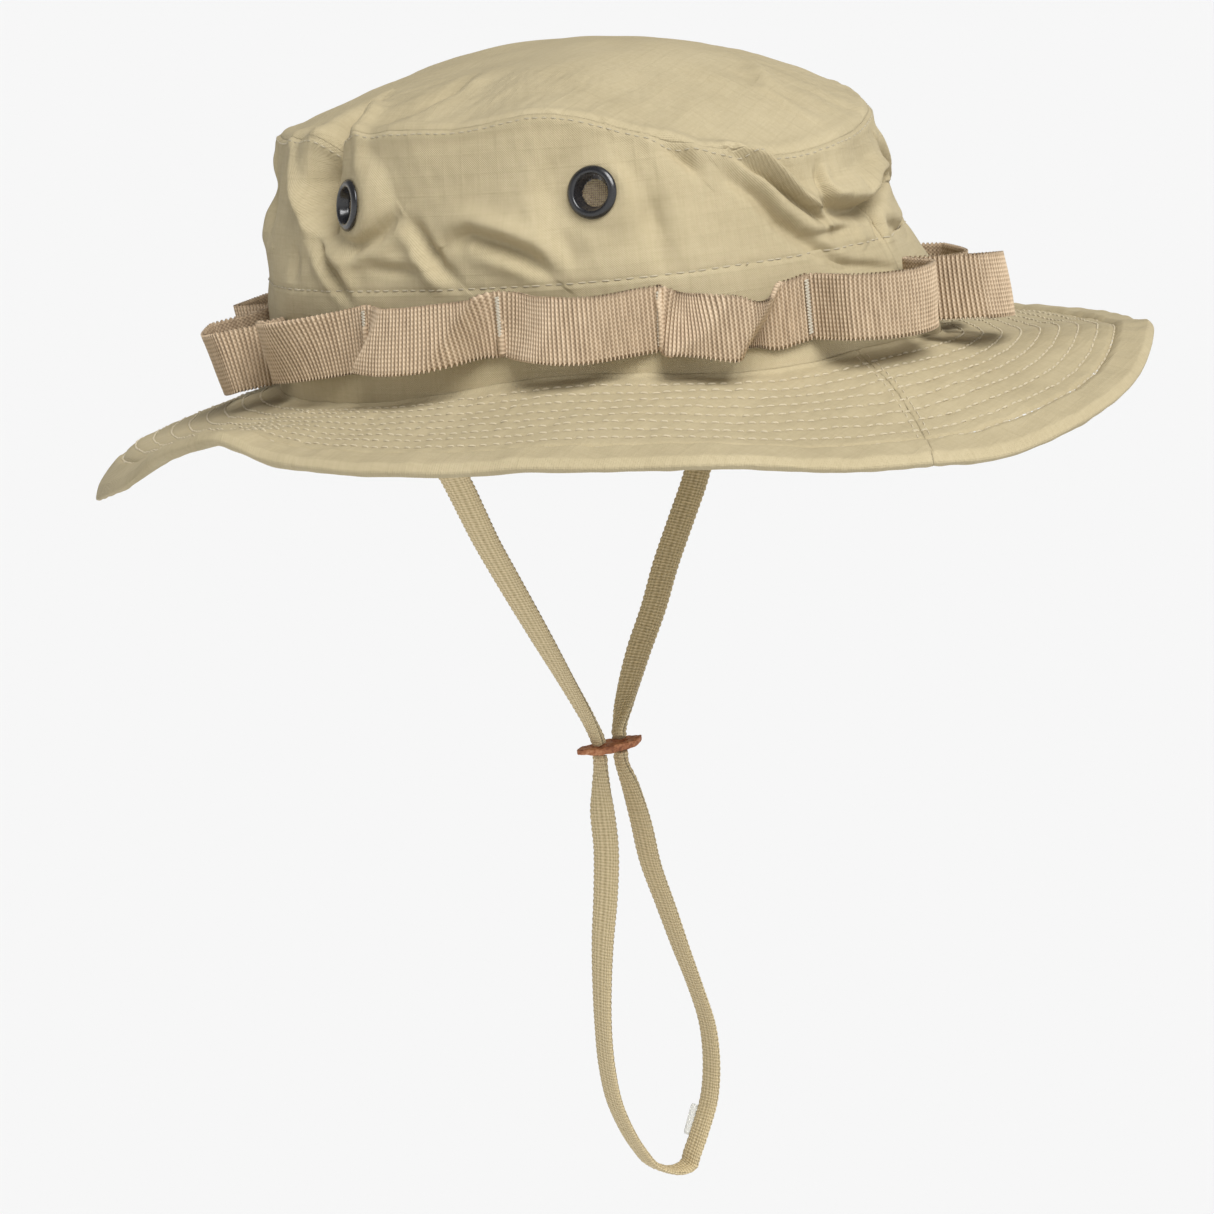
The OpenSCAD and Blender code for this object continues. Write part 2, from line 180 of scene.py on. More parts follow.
def grid_normals(grid, ring=False):
    """Unit normals of a grid of points, on the side where rows cross columns."""
    if ring:
        padded = np.concatenate([grid[:, -1:], grid, grid[:, :1]], 1)
        along = padded[:, 2:] - padded[:, :-2]
    else:
        along = np.gradient(grid, axis=1)
    return unit(np.cross(along, np.gradient(grid, axis=0)))


def shell(name, grid, uv, thickness, ring=False, hole=None):
    """A closed sheet: grid is its outer face, and the inner face lies thickness behind it.

    thickness is a number or has one for each point; hole is True where the sheet is cut away.
    """
    rows, cols = grid.shape[:2]
    thickness = np.broadcast_to(np.asarray(thickness, float), (rows, cols))[..., None]
    inner = grid - grid_normals(grid, ring) * thickness
    count = rows * cols
    front = grid_faces(rows, cols, ring)
    if hole is not None:
        front = front[~hole.ravel()[front].any(1)]
    c = np.arange(cols if ring else cols - 1)
    n = (c + 1) % cols
    top = (rows - 1) * cols
    faces = [
        front,
        front[:, ::-1] + count,
        np.stack([n, c, c + count, n + count], -1),
        np.stack([top + c, top + n, top + n + count, top + c + count], -1),
    ]
    if not ring:
        a = np.arange(rows - 1) * cols
        b = a + cols
        faces.append(np.stack([a, b, b + count, a + count], -1))
        a, b = a + cols - 1, b + cols - 1
        faces.append(np.stack([b, a, a + count, b + count], -1))
    points = np.concatenate([grid.reshape(-1, 3), inner.reshape(-1, 3)])
    both = np.concatenate([uv.reshape(-1, 2), uv.reshape(-1, 2)])
    return mesh_object(name, points, np.concatenate(faces), MM, both)


def tube(name, centres, wide, half_widths, half_depths, sides, squareness, relief):
    """A closed tube with flattened sides along centres; wide is the direction of its width.

    relief(across, along) lifts its skin; both are in millimetres.
    """
    along = unit(np.gradient(centres, axis=0))
    wide = unit(wide - along * (wide * along).sum(-1, keepdims=True))
    deep = np.cross(along, wide)
    turn = even_turns(sides)
    x = np.sign(np.cos(turn)) * np.abs(np.cos(turn)) ** squareness
    y = np.sign(np.sin(turn)) * np.abs(np.sin(turn)) ** squareness
    across = x * half_widths[:, None]
    out = wide[:, None] * across[..., None] + deep[:, None] * (y * half_depths[:, None])[..., None]
    run = run_along(centres)
    girth = 2 * np.pi * np.sqrt((half_widths ** 2 + half_depths ** 2) / 2)
    u = turn / (2 * np.pi) * girth.mean()
    rings = centres[:, None] + out + unit(out) * relief(across, run[:, None])[..., None]
    count = len(centres)
    quads = grid_faces(count, sides, ring=True)
    ends = []
    for r in (0, count - 1):
        half = sides // 2
        k = np.arange(half - 1)
        cap = np.stack([k, k + 1, sides - 2 - k, sides - 1 - k], -1) + r * sides
        ends.append(cap if r else cap[:, ::-1])
    uv = np.stack(np.broadcast_arrays(u[None, :], run[:, None]), -1).reshape(-1, 2)
    return mesh_object(name, rings.reshape(-1, 3), np.concatenate([quads, *ends]), MM, uv)


def lathe(name, profile, place, axis, sides):
    """A closed ring or disc turned about an axis: profile is a closed outline of (radius, height)."""
    profile = np.asarray(profile, float)
    axis = unit(np.asarray(axis, float))
    side = unit(np.cross(axis, (0.3, 0.2, 1.0)))
    other = np.cross(axis, side)
    turn = even_turns(sides)[None, :, None]
    rim = np.cos(turn) * side + np.sin(turn) * other
    grid = place + rim * profile[:, None, :1] + axis * profile[:, None, 1:]
    grid = np.concatenate([grid, grid[:1]])
    uv = np.stack(np.broadcast_arrays(turn[..., 0] * 8, np.arange(len(grid))[:, None] * 0.5), -1)
    quads = grid_faces(len(grid), sides, ring=True)
    return mesh_object(name, grid.reshape(-1, 3), quads, MM, uv.reshape(-1, 2))


def six_sided_caps(rings):
    """Faces that close the two ends of a tube with six sides and so many rings."""
    cap = np.array([[0, 1, 2, 3], [0, 3, 4, 5]])
    return [cap[:, ::-1], cap + (rings - 1) * 6]


def stitches(name, spots, runs, normals, length, radius):
    """Short threads with rounded ends, all in one mesh, each at a spot and along its run."""
    sides = 6
    share = np.array([-1, -0.97, -0.8, -0.35, 0.35, 0.8, 0.97, 1])
    thick = np.array([0.05, 0.45, 0.85, 1, 1, 0.85, 0.45, 0.05]) * radius
    lift = radius * 0.9 * (1 - share ** 4) - STITCH_SINK
    turn = even_turns(sides)
    spots, runs, normals = (np.asarray(v, float)[:, None, None] for v in (spots, unit(runs), unit(normals)))
    across = unit(np.cross(normals, runs))
    length = np.broadcast_to(np.asarray(length, float), spots.shape[:1])[:, None, None, None]
    s, t, h = share[None, :, None, None], thick[None, :, None, None], lift[None, :, None, None]
    c, n = np.cos(turn)[None, None, :, None], np.sin(turn)[None, None, :, None]
    points = spots + runs * s * length / 2 + normals * (h + t * n) + across * t * c
    one = np.concatenate([grid_faces(len(share), sides, ring=True), *six_sided_caps(len(share))])
    count = len(share) * sides
    quads = (one[None] + np.arange(len(spots))[:, None, None] * count).reshape(-1, 4)
    one_uv = np.stack(np.broadcast_arrays(turn[None] * radius, share[:, None]), -1)
    uv = np.broadcast_to(one_uv, (len(spots), *one_uv.shape))
    return mesh_object(name, points.reshape(-1, 3), quads, MM, uv.reshape(-1, 2))


def row_of_stitches(thread, name, surface, a, b, pitch, length, radius):
    """Sews along a line on a surface; surface(a, b) gives points for arrays of its two places."""
    line = surface(a, b)
    run = run_along(line)
    at = np.arange(pitch / 2, run[-1], pitch)
    at = at + rng.uniform(-STITCH_JITTER, STITCH_JITTER, len(at)) * pitch
    a, b = np.interp(at, run, a), np.interp(at, run, b)
    spots = surface(a, b)
    ahead, behind = points_at(line, run, at + 0.25), points_at(line, run, at - 0.25)
    da = surface(a + 0.2, b) - surface(a - 0.2, b)
    db = surface(a, b + 0.2) - surface(a, b - 0.2)
    lengths = length * rng.uniform(0.85, 1.08, len(at))
    obj = stitches(name, spots, ahead - behind, np.cross(da, db), lengths, radius)
    finish_piece(obj, "hat", "thread", thread)


# ---- shape rules, the same as the CAD's ----

HALF_LENGTH = 103
HALF_WIDTH = 84.5
CROWN_HEIGHT = 79
TIP_RISE = 17
CROWN_TAPER = 9
FRONT_SLUMP = 16
SWEATBAND_HEIGHT = 35
BRIM_WIDTH = 62
BRIM_REACH = 0.985
CURL_START = 44
CURL_DROP = 9
CURL_PULL = 2.5


def cosd(a):
    return np.cos(np.radians(a))


def sind(a):
    return np.sin(np.radians(a))


def wrapped(a):
    return (np.asarray(a, float) + 180) % 360 - 180


def hill(x, width):
    """1 where x is 0, falling off smoothly to both sides."""
    return np.exp(-((x / width) ** 2))


def bell(a, mid, width):
    return hill(wrapped(a - mid), width)


def oval(a, out):
    """The point on the crown's outline at the angle a, moved out from the middle."""
    return (HALF_LENGTH + out) * cosd(a), (HALF_WIDTH + out) * sind(a)


def turned(x, y, angle):
    """A point turned about the upright axis."""
    return x * cosd(angle) - y * sind(angle), x * sind(angle) + y * cosd(angle)


def smooth(x, low, high):
    t = np.clip((x - low) / (high - low), 0, 1)
    return t * t * (3 - 2 * t)


def seam_height(a):
    width = np.where(wrapped(a - 335) < 0, 32, 42)
    return (
        CROWN_HEIGHT
        - FRONT_SLUMP * bell(a, 335, width)
        - 0.4 * FRONT_SLUMP * bell(a, 30, 35)
        - 3.5 * bell(a, 205, 45)
        + 4 * bell(a, 293, 14)
    )


def wall_out(a, v):
    lean = np.where(v < 0.35, 0, np.sin(np.pi / 2 * np.clip((v - 0.35) / 0.3, 0, 1)))
    return (
        -CROWN_TAPER * np.maximum(v, 0) ** 1.6
        - 0.4 * FRONT_SLUMP * bell(a, 20, 40) * lean
        + np.sin(np.pi * v) * (1.2 * sind(5 * a + 40) + 2.5 * bell(a, 200, 50))
    )


def base_rise(a):
    return 7.5 * bell(a, 292, 27) + 4.5 * bell(a, 350, 25)


def edge_drop(a):
    return (
        5
        + 13 * bell(a, 192, 46)
        - 7.5 * bell(a, 252, 13)
        + 3 * bell(a, 278, 12)
        + 13 * bell(a, 340, 28)
        - 5 * bell(a, 20, 10)
        + 5 * bell(a, 95, 25)
    )


def rim_curl(a, w):
    return bell(a, 212, 24) * (np.maximum(w - CURL_START, 0) / (BRIM_WIDTH - CURL_START)) ** 1.5


def ellipse_out(a):
    n = np.stack([cosd(a) / HALF_LENGTH, sind(a) / HALF_WIDTH], -1)
    return n / np.linalg.norm(n, axis=-1, keepdims=True)


# ---- smooth noise and folds ----

# How many waves are added up
WAVES = 10


def waves(u, v, scale, seed):
    """Smooth noise, about -1 to 1, from waves in random directions; scale is the wavelength."""
    r = np.random.default_rng(seed)
    total = np.zeros(np.broadcast(u, v).shape)
    for _ in range(WAVES):
        turn = r.uniform(0, math.pi)
        k = 2 * math.pi / (scale * r.uniform(0.7, 1.5))
        total += np.sin(k * (u * math.cos(turn) + v * math.sin(turn)) + r.uniform(0, 2 * math.pi))
    return total / math.sqrt(WAVES)


def line_distance(u, v, line):
    """Distance to a line through points, signed by its side, and the share of the way along it."""
    pts = np.asarray(line, float)
    lengths = np.linalg.norm(np.diff(pts, axis=0), axis=1)
    total = lengths.sum()
    best = np.full(u.shape, 1e9)
    signed = np.zeros(u.shape)
    share = np.zeros(u.shape)
    before = 0
    for a, b, length in zip(pts[:-1], pts[1:], lengths):
        d = (b - a) / length
        along = np.clip((u - a[0]) * d[0] + (v - a[1]) * d[1], 0, length)
        ex, ey = u - a[0] - along * d[0], v - a[1] - along * d[1]
        dist = np.hypot(ex, ey)
        near = dist < best
        best = np.where(near, dist, best)
        side = np.sign(d[0] * (v - a[1]) - d[1] * (u - a[0]))
        signed = np.where(near, dist * side, signed)
        share = np.where(near, (before + along) / total, share)
        before += length
    return signed, share


def faded(share):
    """1 in the middle of a line and little at its ends, by the share of the way along it."""
    return np.sin(np.pi * np.clip(share * 0.92 + 0.04, 0, 1)) ** 0.7


def fold(u, v, line, depth, width, ridge, side):
    """A valley along a line, with a softer ridge on one side of it; it fades out at both ends."""
    d, share = line_distance(u, v, line)
    d = d * side
    return faded(share) * depth * (ridge * hill(d - 1.9 * width, 1.3 * width) - hill(d, width))


# ---- crown ----

# Millimetres round the crown for each degree: over all of it, and at the vents
ROUND = 1.6
ROUND_AT_VENTS = 1.55
# Places along a row of stitches that goes all the way round
ALL_ROUND = np.linspace(0, 360, 1441)
# Thicknesses of the crown's cloths, and how far inside the wall the tapes and the label lie
CROWN_CLOTH = 0.7
SWEATBAND_CLOTH = 1.1
TAPE_CLOTH = 0.5
TAPE_INSET = 1.0
LABEL_CLOTH = 0.35
LABEL_INSET = 2.55
# How far the tip reaches in from its seam, measured along the cloth
TIP_REACH = 75
# Stitch rows: how far one lies below the tip seam, and the height of the one that holds the sweatband
SEAM_ROW = 1.5
STITCH_HEIGHT = 34.5
# Each vent's angle, and how far the slack of the cloth turns it about the upright direction
VENTS = [250, 298, 62, 110]
VENT_TURN = [-20, -18, 0, 0]
VENT_HEIGHT = 58.5
VENT_HOLE = 5.3
# Valleys of the crown's cloth: points as (angle, height along the cloth), depth, width, height of the ridge
# beside it as a share of its depth, and the side that the ridge is on
VALLEYS = [
    ([(245, 80), (242, 72), (240.5, 64), (241, 57), (244, 49)], 7.0, 4.0, 0.1, -1),
    ([(240, 51), (244, 43), (247, 38), (250, 32)], 1.8, 1.8, 0.4, -1),
    ([(234, 98), (241, 86), (244, 78), (243, 72)], 4.2, 4.0, 0.2, -1),
    ([(256, 118), (262, 101), (260, 90), (254, 83)], 1.5, 4.5, 0.5, 1),
    ([(248, 50), (252, 47), (257, 50), (261, 55)], 2.2, 2.2, 0.5, -1),
    ([(264, 54), (267, 48), (270, 41), (273, 37)], 2.2, 2.2, 0.6, -1),
    ([(272, 47), (276, 49), (282, 46), (286, 43), (290, 37)], 2.4, 2.4, 0.7, 1),
    ([(255, 41), (261, 40), (266, 40)], 1.0, 1.6, 0.5, 1),
    ([(235, 47), (234, 36)], 1.2, 3.0, 0.3, 1),
    ([(291, 48), (295, 39)], 1.1, 3.5, 0.3, 1),
    ([(324, 64), (330, 58), (336, 50), (343, 42)], 2.3, 1.2, 0.8, 1),
    ([(322, 60), (328, 52), (332, 44), (338, 37), (345, 28)], 2.4, 2.5, 0.5, 1),
    ([(342, 30), (350, 28), (360, 25)], 1.6, 1.6, 0.5, 1),
    ([(303, 70), (306, 59), (308, 47), (309, 35)], 1.5, 3.8, 0.4, 1),
    ([(310, 70), (314, 66), (317, 60)], 1.7, 2.0, 0.5, 1),
    ([(343, 46), (350, 43.5), (357, 43), (363, 46), (372, 48)], 3.4, 2.4, 1.0, 1),
    ([(362, 49), (368, 50), (375, 50)], 2.0, 2.0, 0.3, 1),
    ([(344, 58), (343.5, 52), (345, 46)], 1.4, 1.5, 0.6, 1),
    ([(338, 39), (345, 38.5), (352, 39)], 1.0, 1.5, 0.6, 1),
    ([(360, 43), (359, 33)], 1.6, 2.0, 0.5, 1),
    ([(188, 64), (204, 62), (219, 60)], 2.6, 5.0, 0.3, 1),
    ([(212, 74), (216, 62), (222, 50)], 1.5, 3.0, 0.5, -1),
    ([(170, 60), (180, 50), (196, 42)], 2.2, 2.8, 0.6, 1),
    ([(150, 66), (158, 54), (160, 40)], 1.8, 3.4, 0.5, -1),
    ([(120, 52), (132, 46), (146, 45)], 2.2, 2.6, 0.6, 1),
    ([(100, 42), (108, 46), (116, 40)], 1.6, 2.4, 0.6, -1),
    ([(76, 54), (88, 47), (98, 46)], 2.2, 2.6, 0.6, 1),
    ([(52, 64), (58, 54), (60, 40)], 1.9, 3.0, 0.5, 1),
    ([(36, 50), (46, 44), (56, 45)], 2.0, 2.4, 0.6, 1),
    ([(18, 58), (26, 48), (38, 40)], 2.4, 2.4, 0.8, 1),
    ([(2, 38), (12, 34), (26, 36)], 1.6, 2.2, 0.5, 1),
]

# How much deeper than in the two tables the folds are made
FOLD_DEPTH = 1.5

# Ridges of the crown's cloth: points, height and width
RIDGES = [
    ([(227, 78), (232, 68), (236, 60), (240, 52), (245, 46), (249, 42), (251, 34)], 2.2, 2.6),
    ([(231, 99), (248, 87), (253, 76), (252, 65)], 1.9, 3.0),
    ([(316, 68), (325, 65), (330, 61), (335, 55.5), (340, 49.5), (344, 44)], 1.3, 1.7),
    ([(384, 106), (368, 92), (354, 83), (353, 72)], 1.3, 3.6),
    ([(194, 50), (206, 49), (219, 46)], 1.4, 5.0),
    ([(277, 43), (283, 40), (288, 36)], 1.0, 2.6),
    ([(345, 50), (352, 51), (362, 53)], 1.5, 2.6),
    ([(352, 38), (353, 33)], 1.1, 3.4),
]


def laid_flat(a, line):
    """Angles and a line's points with their angles turned into millimetres round from the line's middle."""
    middle = line[len(line) // 2][0]
    return wrapped(a - middle) * ROUND, [((p - middle) * ROUND, q) for p, q in line]


def cloth_relief(a, s):
    """How far the crown's cloth stands out from its smooth shape, s along the cloth from the brim seam."""
    relief = np.zeros(np.broadcast(a, s).shape)
    for line, depth, width, ridge, side in VALLEYS:
        u, flat = laid_flat(a, line)
        relief += FOLD_DEPTH * fold(u, s, flat, depth, width, ridge, side)
    for line, height, width in RIDGES:
        u, flat = laid_flat(a, line)
        d, share = line_distance(u, s, flat)
        relief += FOLD_DEPTH * height * faded(share) * hill(d, width)
    x, y = 90 * cosd(a), 90 * sind(a)
    relief += 0.55 * waves(x + y, s + 0.6 * x - 0.4 * y, 46, 3)
    relief += 0.22 * waves(x - y, s - 0.5 * x, 17, 5)
    relief += 0.07 * waves(x + 0.7 * y, s + 0.3 * y, 6, 6)
    low = smooth(s, 18, 40)
    return relief * (0.12 + 0.88 * low)


def held_by_vents(a, s):
    """How flat the vents hold the cloth, from 0 to 1, and how far out it stands because they are turned."""
    held = np.zeros(np.broadcast(a, s).shape)
    out = np.zeros(held.shape)
    for angle, turn in zip(VENTS, VENT_TURN):
        along = wrapped(a - angle) * ROUND_AT_VENTS
        d = np.hypot(along, s - VENT_HEIGHT)
        held = np.maximum(held, 1 - smooth(d, 7.5, 12))
        out += math.tan(math.radians(-turn)) * along * (1 - smooth(d, 8, 18))
    return held, out


def seam_groove(below):
    """The dip along the tip seam and the soft welt beside it, at a distance from the seam."""
    return 0.45 * hill(below - 2.2, 1.4) - 0.5 * hill(below, 0.7)


def wall_grid(a, z, inset=0.0, relief=True):
    """Points on the crown's side wall; z is the height, and a the angle."""
    seam = seam_height(a)
    out = wall_out(a, z / seam) - inset
    up = np.zeros(np.broadcast(a, z).shape)
    if relief:
        held, tilted = held_by_vents(a, z)
        lift = cloth_relief(a, z) * (1 - held) + tilted + seam_groove(seam - z)
        lift = lift - 0.25 * hill(z - STITCH_HEIGHT, 0.7)
        tilt = 45 * smooth(z, seam - 14, seam)
        out = out + lift * cosd(tilt)
        up = lift * sind(tilt)
    return np.stack([*oval(a, out), z + up], -1)


def tip_grid(a, r):
    """Points on the crown's tip; r is 1 at its seam and 0 in the middle."""
    seam = seam_height(a)
    out = wall_out(a, np.ones_like(a))
    z = CROWN_HEIGHT + (seam - CROWN_HEIGHT) * r ** 2 + TIP_RISE * (1 - r ** 2)
    lift = cloth_relief(a, seam + (1 - r) * TIP_REACH)
    x, y = r * cosd(a), r * sind(a)
    middle = 0.8 * waves(60 * x, 60 * y, 50, 9) + 0.15 * waves(60 * x, 60 * y, 14, 10)
    blend = smooth(r, 0.35, 0.75)
    lift = lift * blend + middle * (1 - blend) + seam_groove((1 - r) * TIP_REACH)
    tilt = 90 - 45 * smooth(r, 0.82, 1)
    out = out * r + lift * cosd(tilt)
    x, y = (HALF_LENGTH * r + out) * cosd(a), (HALF_WIDTH * r + out) * sind(a)
    return np.stack([x, y, z + lift * sind(tilt)], -1)


def at_vents(a, z):
    """True where the wall is cut away for a vent."""
    hit = np.zeros(a.shape, bool)
    for angle in VENTS:
        mid = wall_grid(np.array([angle], float), np.array([VENT_HEIGHT]), relief=False)
        hit |= np.linalg.norm(wall_grid(a, z, relief=False) - mid, axis=-1) < VENT_HOLE
    return hit


def flat_uv(a, z):
    """Places on a strip that goes round the crown, in millimetres."""
    return np.stack([a * ROUND, z], -1)


def add_crown(cloth, thread):
    for name, start in (("left", 0), ("right", 180)):
        a, t = np.meshgrid(np.linspace(start, start + 180, 761), np.linspace(0, 1, 221))
        z = base_rise(a) * (1 - t) + t * seam_height(a)
        hole = at_vents(a, z)
        side = shell("crown_side_cloth_" + name, wall_grid(a, z), flat_uv(a, z), CROWN_CLOTH, hole=hole)
        finish_piece(side, "hat", "crown_cloth", cloth, "crown_side_" + name)
    a, r = np.meshgrid(np.linspace(0, 360, 1000, endpoint=False), np.linspace(1, 0.004, 150))
    flat = np.stack([95 * r * cosd(a), 78 * r * sind(a)], -1)
    tip = shell("crown_tip_cloth", tip_grid(a, r), flat, CROWN_CLOTH, ring=True)
    finish_piece(tip, "hat", "crown_cloth", cloth, "crown_top")
    for name, surface, place, pitch, length, radius in (
        ("tip_seam_stitches", below_seam, -SEAM_ROW, 2.6, 1.6, 0.2),
        ("sweatband_stitches", wall_grid, STITCH_HEIGHT, 3.4, 2.3, 0.24),
    ):
        row = np.full_like(ALL_ROUND, place)
        row_of_stitches(thread, name, surface, ALL_ROUND, row, pitch, length, radius)


def below_seam(a, up):
    """A point on the wall, up from the tip seam; up is below 0."""
    return wall_grid(a, seam_height(a) + up)


def finish_piece(obj, body, slot, material, *nodes):
    """Gives a piece its material and its body, and hides the CAD nodes that it stands for; slot is not
    used.
    """
    obj.data.materials.append(material)
    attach(obj, body)
    if nodes:
        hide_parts(*nodes)


def add_linings(cloth, label):
    """The strips inside the crown: sweatband, seam tapes and size label."""
    around = np.linspace(0, 360, 720, endpoint=False)
    a, z = np.meshgrid(around, np.linspace(0.3, SWEATBAND_HEIGHT, 40))
    z = z + base_rise(a) * (1 - z / SWEATBAND_HEIGHT)
    band = wall_grid(a, z, 1.1 + 0.15 * waves(90 * cosd(a), z + 80 * sind(a), 30, 21), relief=False)
    band = shell("sweatband_cloth", band, flat_uv(a, z), SWEATBAND_CLOTH, ring=True)
    finish_piece(band, "hat", "sweatband", cloth, "sweatband")
    a, d = np.meshgrid(around, np.linspace(-5.5, -0.8, 8))
    tape = wall_grid(a, seam_height(a) + d, TAPE_INSET)
    tape = shell("tip_seam_tape_cloth", tape, flat_uv(a, d), TAPE_CLOTH, ring=True)
    finish_piece(tape, "hat", "seam_tape", cloth, "tip_seam_tape")
    for name, middle in (("front", 0), ("back", 180)):
        a, t = np.meshgrid(np.linspace(middle - 4, middle + 4, 24), np.linspace(0, 1, 60))
        z = SWEATBAND_HEIGHT + 2 + t * (seam_height(a) - SWEATBAND_HEIGHT - 9)
        tape = shell(name + "_tape_cloth", wall_grid(a, z, TAPE_INSET), flat_uv(a, z), TAPE_CLOTH)
        finish_piece(tape, "hat", "seam_tape", cloth, name + "_seam_tape")
    a, z = np.meshgrid(np.linspace(172, 188, 40), np.linspace(10, 28, 30))
    tag = wall_grid(a, z, LABEL_INSET - 0.08 * waves(a * ROUND, z, 9, 22), relief=False)
    tag = shell("size_label_cloth", tag, flat_uv(a, z), LABEL_CLOTH)
    finish_piece(tag, "hat", "label", label, "size_label")


# ---- brim ----

# The rows of stitches, by how far out they are; the last one holds the hem
HEM_ROW = 50.5
BRIM_ROWS = [6.5 + 5.6 * i for i in range(8)] + [HEM_ROW]
# Angle of the cross seam where it starts at the crown, and how far it has turned at the edge
SEAM_START = -17
SEAM_SLANT = -10
# Thicknesses of the brim's cloth and of the stiffener in its middle
BRIM_CLOTH = 0.6
STIFFENER = 0.24
# Width of the rounded edge, and half the thickness of the brim
EDGE = 1.5
HALF_THICK = 1.15
# Seeds of the random waves on the brim's two faces
UPPER_SEED = 31
UNDER_SEED = 61


def rim_lift(a, w):
    """How much higher than the CAD's the soft rim lies on the right side, less its dip behind that."""
    share = np.maximum(w, 0) / BRIM_WIDTH
    lift = 3.5 * bell(a, 275, 13) + 3 * bell(a, 238, 14) + 2 * bell(a, 255, 5)
    dip = 3.6 * bell(a, 236, 7) + 1.3 * bell(a, 225, 5)
    return lift * share ** 2 - dip * share ** 4


def brim_point(a, w, lift):
    """A point on the brim, w out along its slope and lift above its middle layer."""
    out = ellipse_out(a)
    curl = rim_curl(a, w)
    reach = BRIM_REACH * w - CURL_PULL * curl
    swell = 0.4 * waves(*oval(a, w), 42, 32) * smooth(w, 2, 12)
    rise = base_rise(a) * (1 - w / BRIM_WIDTH) + swell + rim_lift(a, w)
    drop = edge_drop(a) * (np.maximum(w, 0) / BRIM_WIDTH) ** 1.1 + CURL_DROP * curl
    x = HALF_LENGTH * cosd(a) + reach * out[..., 0]
    y = HALF_WIDTH * sind(a) + reach * out[..., 1]
    return np.stack([x, y, lift + rise - drop], -1)


def cross_seam(w):
    """Angle of the brim's cross seam, at the width w."""
    return SEAM_START + SEAM_SLANT * w / BRIM_WIDTH


def round_the_brim(w):
    """Millimetres round the brim for each degree, at the width w."""
    return 1.75 + w / 60


def brim_relief(a, w, seed):
    """How far the quilted brim cloth stands up between its rows of stitches."""
    relief = 0.12 * waves(*oval(a, w), 11, seed)
    for i, row in enumerate(BRIM_ROWS):
        depth, width = (0.24, 0.85) if row < HEM_ROW else (0.8, 0.7)
        pucker = 0.1 * waves(a * 2.2, w * 0.25, 5.5, seed + 2 + i) * hill(w - row, 2.4)
        relief = relief - depth * hill(w - row, width) + pucker
    hem = smooth(w, HEM_ROW + 0.5, HEM_ROW + 3) * (1 - smooth(w, BRIM_WIDTH - 2, BRIM_WIDTH))
    ragged = 0.12 * waves(a * 2.4, w * 0.5, 9, seed + 20) * hem
    seam = cross_seam(w)
    off = np.minimum(np.abs(wrapped(a - seam)), np.abs(wrapped(a - seam - 180))) * round_the_brim(w)
    ridge = 0.15 * hill(off - 2.2, 1.6) - 0.1 * hill(off, 0.8)
    return np.maximum(relief + 0.9 * hem + ragged + ridge, -0.9)


def brim_face(a, w, side=1, seed=UPPER_SEED):
    """The brim's upper face, or its lower one at side -1."""
    near_edge = np.clip((w - (BRIM_WIDTH - EDGE)) / EDGE, 0, 1)
    closing = np.sqrt(np.clip(1 - near_edge ** 2, 0, 1))
    inner = 0.9 * hill(w, 0.9) if side > 0 else 0
    lift = (HALF_THICK + brim_relief(a, w, seed)) * closing + inner
    return brim_point(a, w, lift * side)


def brim_row(a, minus_w):
    """The upper face for a row of stitches, which needs its second place to go inwards to face up."""
    return brim_face(a, -minus_w)


def under_row(a, w):
    return brim_face(a, w, -1, UNDER_SEED)


def brim_uv(a, w):
    return np.stack(oval(a, w), -1)


def add_brim(cloth, thread, stiff):
    flat = np.linspace(0.2, BRIM_WIDTH - EDGE, 200)
    out = np.concatenate([flat, BRIM_WIDTH - EDGE + EDGE * sind(np.linspace(4, 90, 12))])
    for name, start in (("left", 0), ("right", 180)):
        t, w = np.meshgrid(np.linspace(0, 180, 640), out)
        a = t + start + cross_seam(w)
        uv = brim_uv(a, w)
        thin = BRIM_CLOTH * np.sqrt(np.clip((BRIM_WIDTH - w + 0.02) / EDGE, 0, 1))
        upper = shell("brim_top_cloth_" + name, brim_face(a, w)[:, ::-1], uv[:, ::-1], thin)
        finish_piece(upper, "hat", "brim_cloth", cloth, "brim_upper_" + name)
        lower = shell("brim_under_cloth_" + name, under_row(a, w), uv, thin)
        finish_piece(lower, "hat", "brim_cloth", cloth, "brim_lower_" + name)
    a, w = np.meshgrid(np.linspace(0, 360, 480, endpoint=False), np.linspace(1, BRIM_WIDTH - 4, 40))
    inner = brim_point(a, w, STIFFENER / 2)
    inner = shell("brim_stiffener_cloth", inner, brim_uv(a, w), STIFFENER, ring=True)
    finish_piece(inner, "hat", "stiffener", stiff, "brim_stiffener")
    for i, w in enumerate(BRIM_ROWS):
        row = np.full_like(ALL_ROUND, w)
        row_of_stitches(thread, f"brim_stitches_{i}", brim_row, ALL_ROUND, -row, 3.3, 2.3, 0.3)
        row_of_stitches(thread, f"brim_under_stitches_{i}", under_row, ALL_ROUND, row, 3.3, 2.5, 0.2)
    for half, turn in (("front", 0), ("back", 180)):
        for side in (-1, 1):
            w = np.linspace(2, 49, 200)
            a = turn + cross_seam(w) + side * 2.0 / round_the_brim(w)
            name = f"brim_seam_stitches_{half}_{(side + 1) // 2}"
            row_of_stitches(thread, name, brim_row, a, -w, 3.1, 2.3, 0.2)


# ---- foliage band ----

# How far each loop stands out from the crown, how far it sags, and how high each tack is
LOOP_BULGE = [10, 11, 10, 9, 11, 12, 14, 17, 11, 10, 11, 12, 17, 21]
LOOP_SAG = [1, 1, 0, 0, 0, 0, 2, 5, 1, 1, 1, 3, 1, 0]
TACK_LIFT = [-4, -3, 0, 0, 0, 0, -1, -2, -2, 3, 6, 4, 2, 1]
